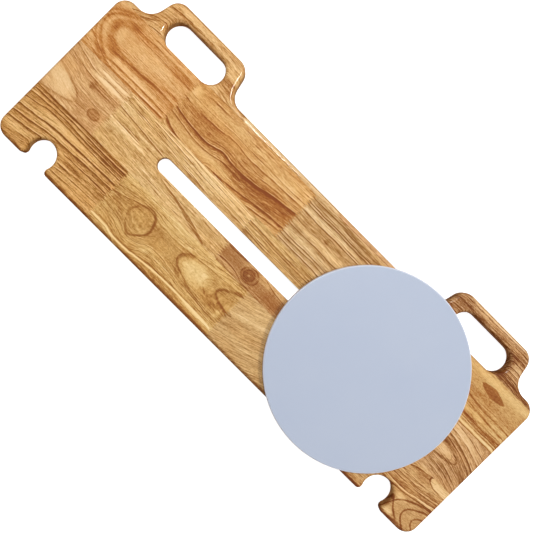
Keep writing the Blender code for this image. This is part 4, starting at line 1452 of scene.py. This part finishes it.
def make_bolt(material):
    """Countersunk socket bolt, head up, with a threaded lower end."""
    low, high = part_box("pivot_bolt")
    washer_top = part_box("lower_washer")[1].z
    head = half_width("pivot_bolt")
    ease = 0.2 * MM
    profile = threaded_profile(BOLT_RADIUS, low.z, washer_top)
    profile += [
        (BOLT_RADIUS, washer_top + ease),
        (BOLT_RADIUS, high.z - (head - BOLT_RADIUS)),
        (head - ease, high.z - ease),
        (head - 2 * ease, high.z),
        (0, high.z),
    ]
    bolt = turned("pivot_bolt_steel", profile, BORE_SEGMENTS)
    socket = hexagon(BOLT_SOCKET)
    cut(bolt, loft("cutter", [(socket, high.z - BOLT_SOCKET / 2), (socket, high.z + OVERSHOOT)]))
    settle(bolt, material, "turntable", "pivot_bolt")


def make_nut(material):
    """Thin lock nut with its corners turned down at both ends."""
    low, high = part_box("lock_nut")
    flats = high.y - low.y
    nut = loft("lock_nut_steel", [(hexagon(flats), low.z), (hexagon(flats), high.z)])
    corner = flats / 2 / math.cos(math.pi / 6)
    end = flats / 2 - CAD_GAP
    barrel = [(0, low.z - OVERSHOOT), (end, low.z - OVERSHOOT), (end, low.z), (corner, low.z + NUT_BEVEL)]
    barrel += [(corner, high.z - NUT_BEVEL), (end, high.z)]
    barrel += [(end, high.z + OVERSHOOT), (0, high.z + OVERSHOOT)]
    cut(nut, turned("cutter", barrel, BORE_SEGMENTS), "INTERSECT")
    drill(nut, BOLT_RADIUS + CAD_GAP, low.z, high.z, 0.4 * MM)
    settle(nut, material, "turntable", "lock_nut")


def make_ring(node, name, bore, ease, body, material):
    """Plain ring that stands for a node; bore is its inner radius."""
    low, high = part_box(node)
    ring = turned(name, ring_section(bore, half_width(node), low.z, high.z, ease), RING_SEGMENTS, hollow=True)
    settle(ring, material, body, node)


def make_flange(material):
    """Flange with a countersink for the bolt's head and four screw holes."""
    low, high = FLANGE_LOW.z, FLANGE_HIGH.z
    outer = half_width("hub_flange")
    bore = BOLT_RADIUS + BOLT_CLEARANCE
    head = half_width("pivot_bolt") + BOLT_CLEARANCE
    ease = 0.4 * MM
    profile = [
        (bore, low),
        (outer - ease, low),
        (outer, low + ease),
        (outer, high - ease),
        (outer - ease, high),
        (head, high),
        (bore, high - (head - bore)),
    ]
    flange = turned("hub_flange_steel", profile, RING_SEGMENTS, hollow=True)
    screw_holes(flange, DISC_SCREWS)
    settle(flange, material, "turntable", "hub_flange")


def make_block(material):
    """Slide block with round ends, eased edges, the bush's bore and two screw holes."""
    length, width = BLOCK_HIGH.x - BLOCK_LOW.x, BLOCK_HIGH.y - BLOCK_LOW.y
    low, high = BLOCK_LOW.z, BLOCK_HIGH.z
    block = eased_plate("slide_block_acetal", length, width, low, high, 0.5 * MM, SLOT_END_SEGMENTS)
    drill(block, half_width("pivot_bush") + CAD_GAP / 3, low, high, 0.3 * MM)
    screw_holes(block, PLATE_SCREWS)
    settle(block, material, "carriage", "slide_block")


def make_plate(material):
    """Retaining plate with round ends, the bolt's hole and two countersunk holes."""
    low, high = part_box("retaining_plate")
    length, width = high.x - low.x, high.y - low.y
    plate = eased_plate("retaining_plate_steel", length, width, low.z, high.z, 0.4 * MM, PLATE_END_SEGMENTS)
    drill(plate, BOLT_RADIUS + BOLT_CLEARANCE, low.z, high.z, 0.3 * MM)
    screw_holes(plate, PLATE_SCREWS)
    settle(plate, material, "carriage", "retaining_plate")


def make_mechanism():
    """Carriage and hub that the disc slides and turns on."""
    acetal = machined_plastic("acetal", (0.80, 0.80, 0.77), 0.42, 0.05)
    ptfe = machined_plastic("ptfe", (0.78, 0.79, 0.78), 0.5, 0.2)
    bronze = turned_metal("bush_bronze", (0.58, 0.37, 0.17), 0.32)
    plate_steel = brushed_metal("plate_steel", (0.56, 0.56, 0.57), 0.34)
    flange_steel = turned_metal("flange_steel", (0.56, 0.56, 0.57), 0.34)
    fastener_steel = turned_metal("fastener_steel", (0.62, 0.62, 0.63), 0.24)
    shank_bore = BOLT_RADIUS + BOLT_CLEARANCE
    make_block(acetal)
    make_plate(plate_steel)
    make_ring("pivot_bush", "pivot_bush_bronze", shank_bore, 0.25 * MM, "carriage", bronze)
    make_ring("thrust_washer", "thrust_washer_ptfe", shank_bore, 0.15 * MM, "carriage", ptfe)
    for node in PLATE_SCREWS:
        make_screw(node, "carriage", fastener_steel)
    ring_bore = half_width("glide_ring") - GLIDE_RING_WIDTH
    make_ring("glide_ring", "glide_ring_ptfe", ring_bore, 0.4 * MM, "turntable", ptfe)
    make_flange(flange_steel)
    for node in DISC_SCREWS:
        make_screw(node, "turntable", fastener_steel)
    make_bolt(fastener_steel)
    make_ring("lower_washer", "lower_washer_steel", shank_bore, 0.15 * MM,
              "turntable", fastener_steel)
    make_nut(fastener_steel)


UPPER_JOINTS = row_joints("upper_stave", "upper_stave_3")
SLOT_JOINTS = row_joints("slot_stave", "slot_stave_3_notch_side")
LOWER_JOINTS = row_joints("lower_stave", "lower_stave_3")

make_camera()
make_light()
make_floor()
make_staves()
make_disc()
make_mechanism()
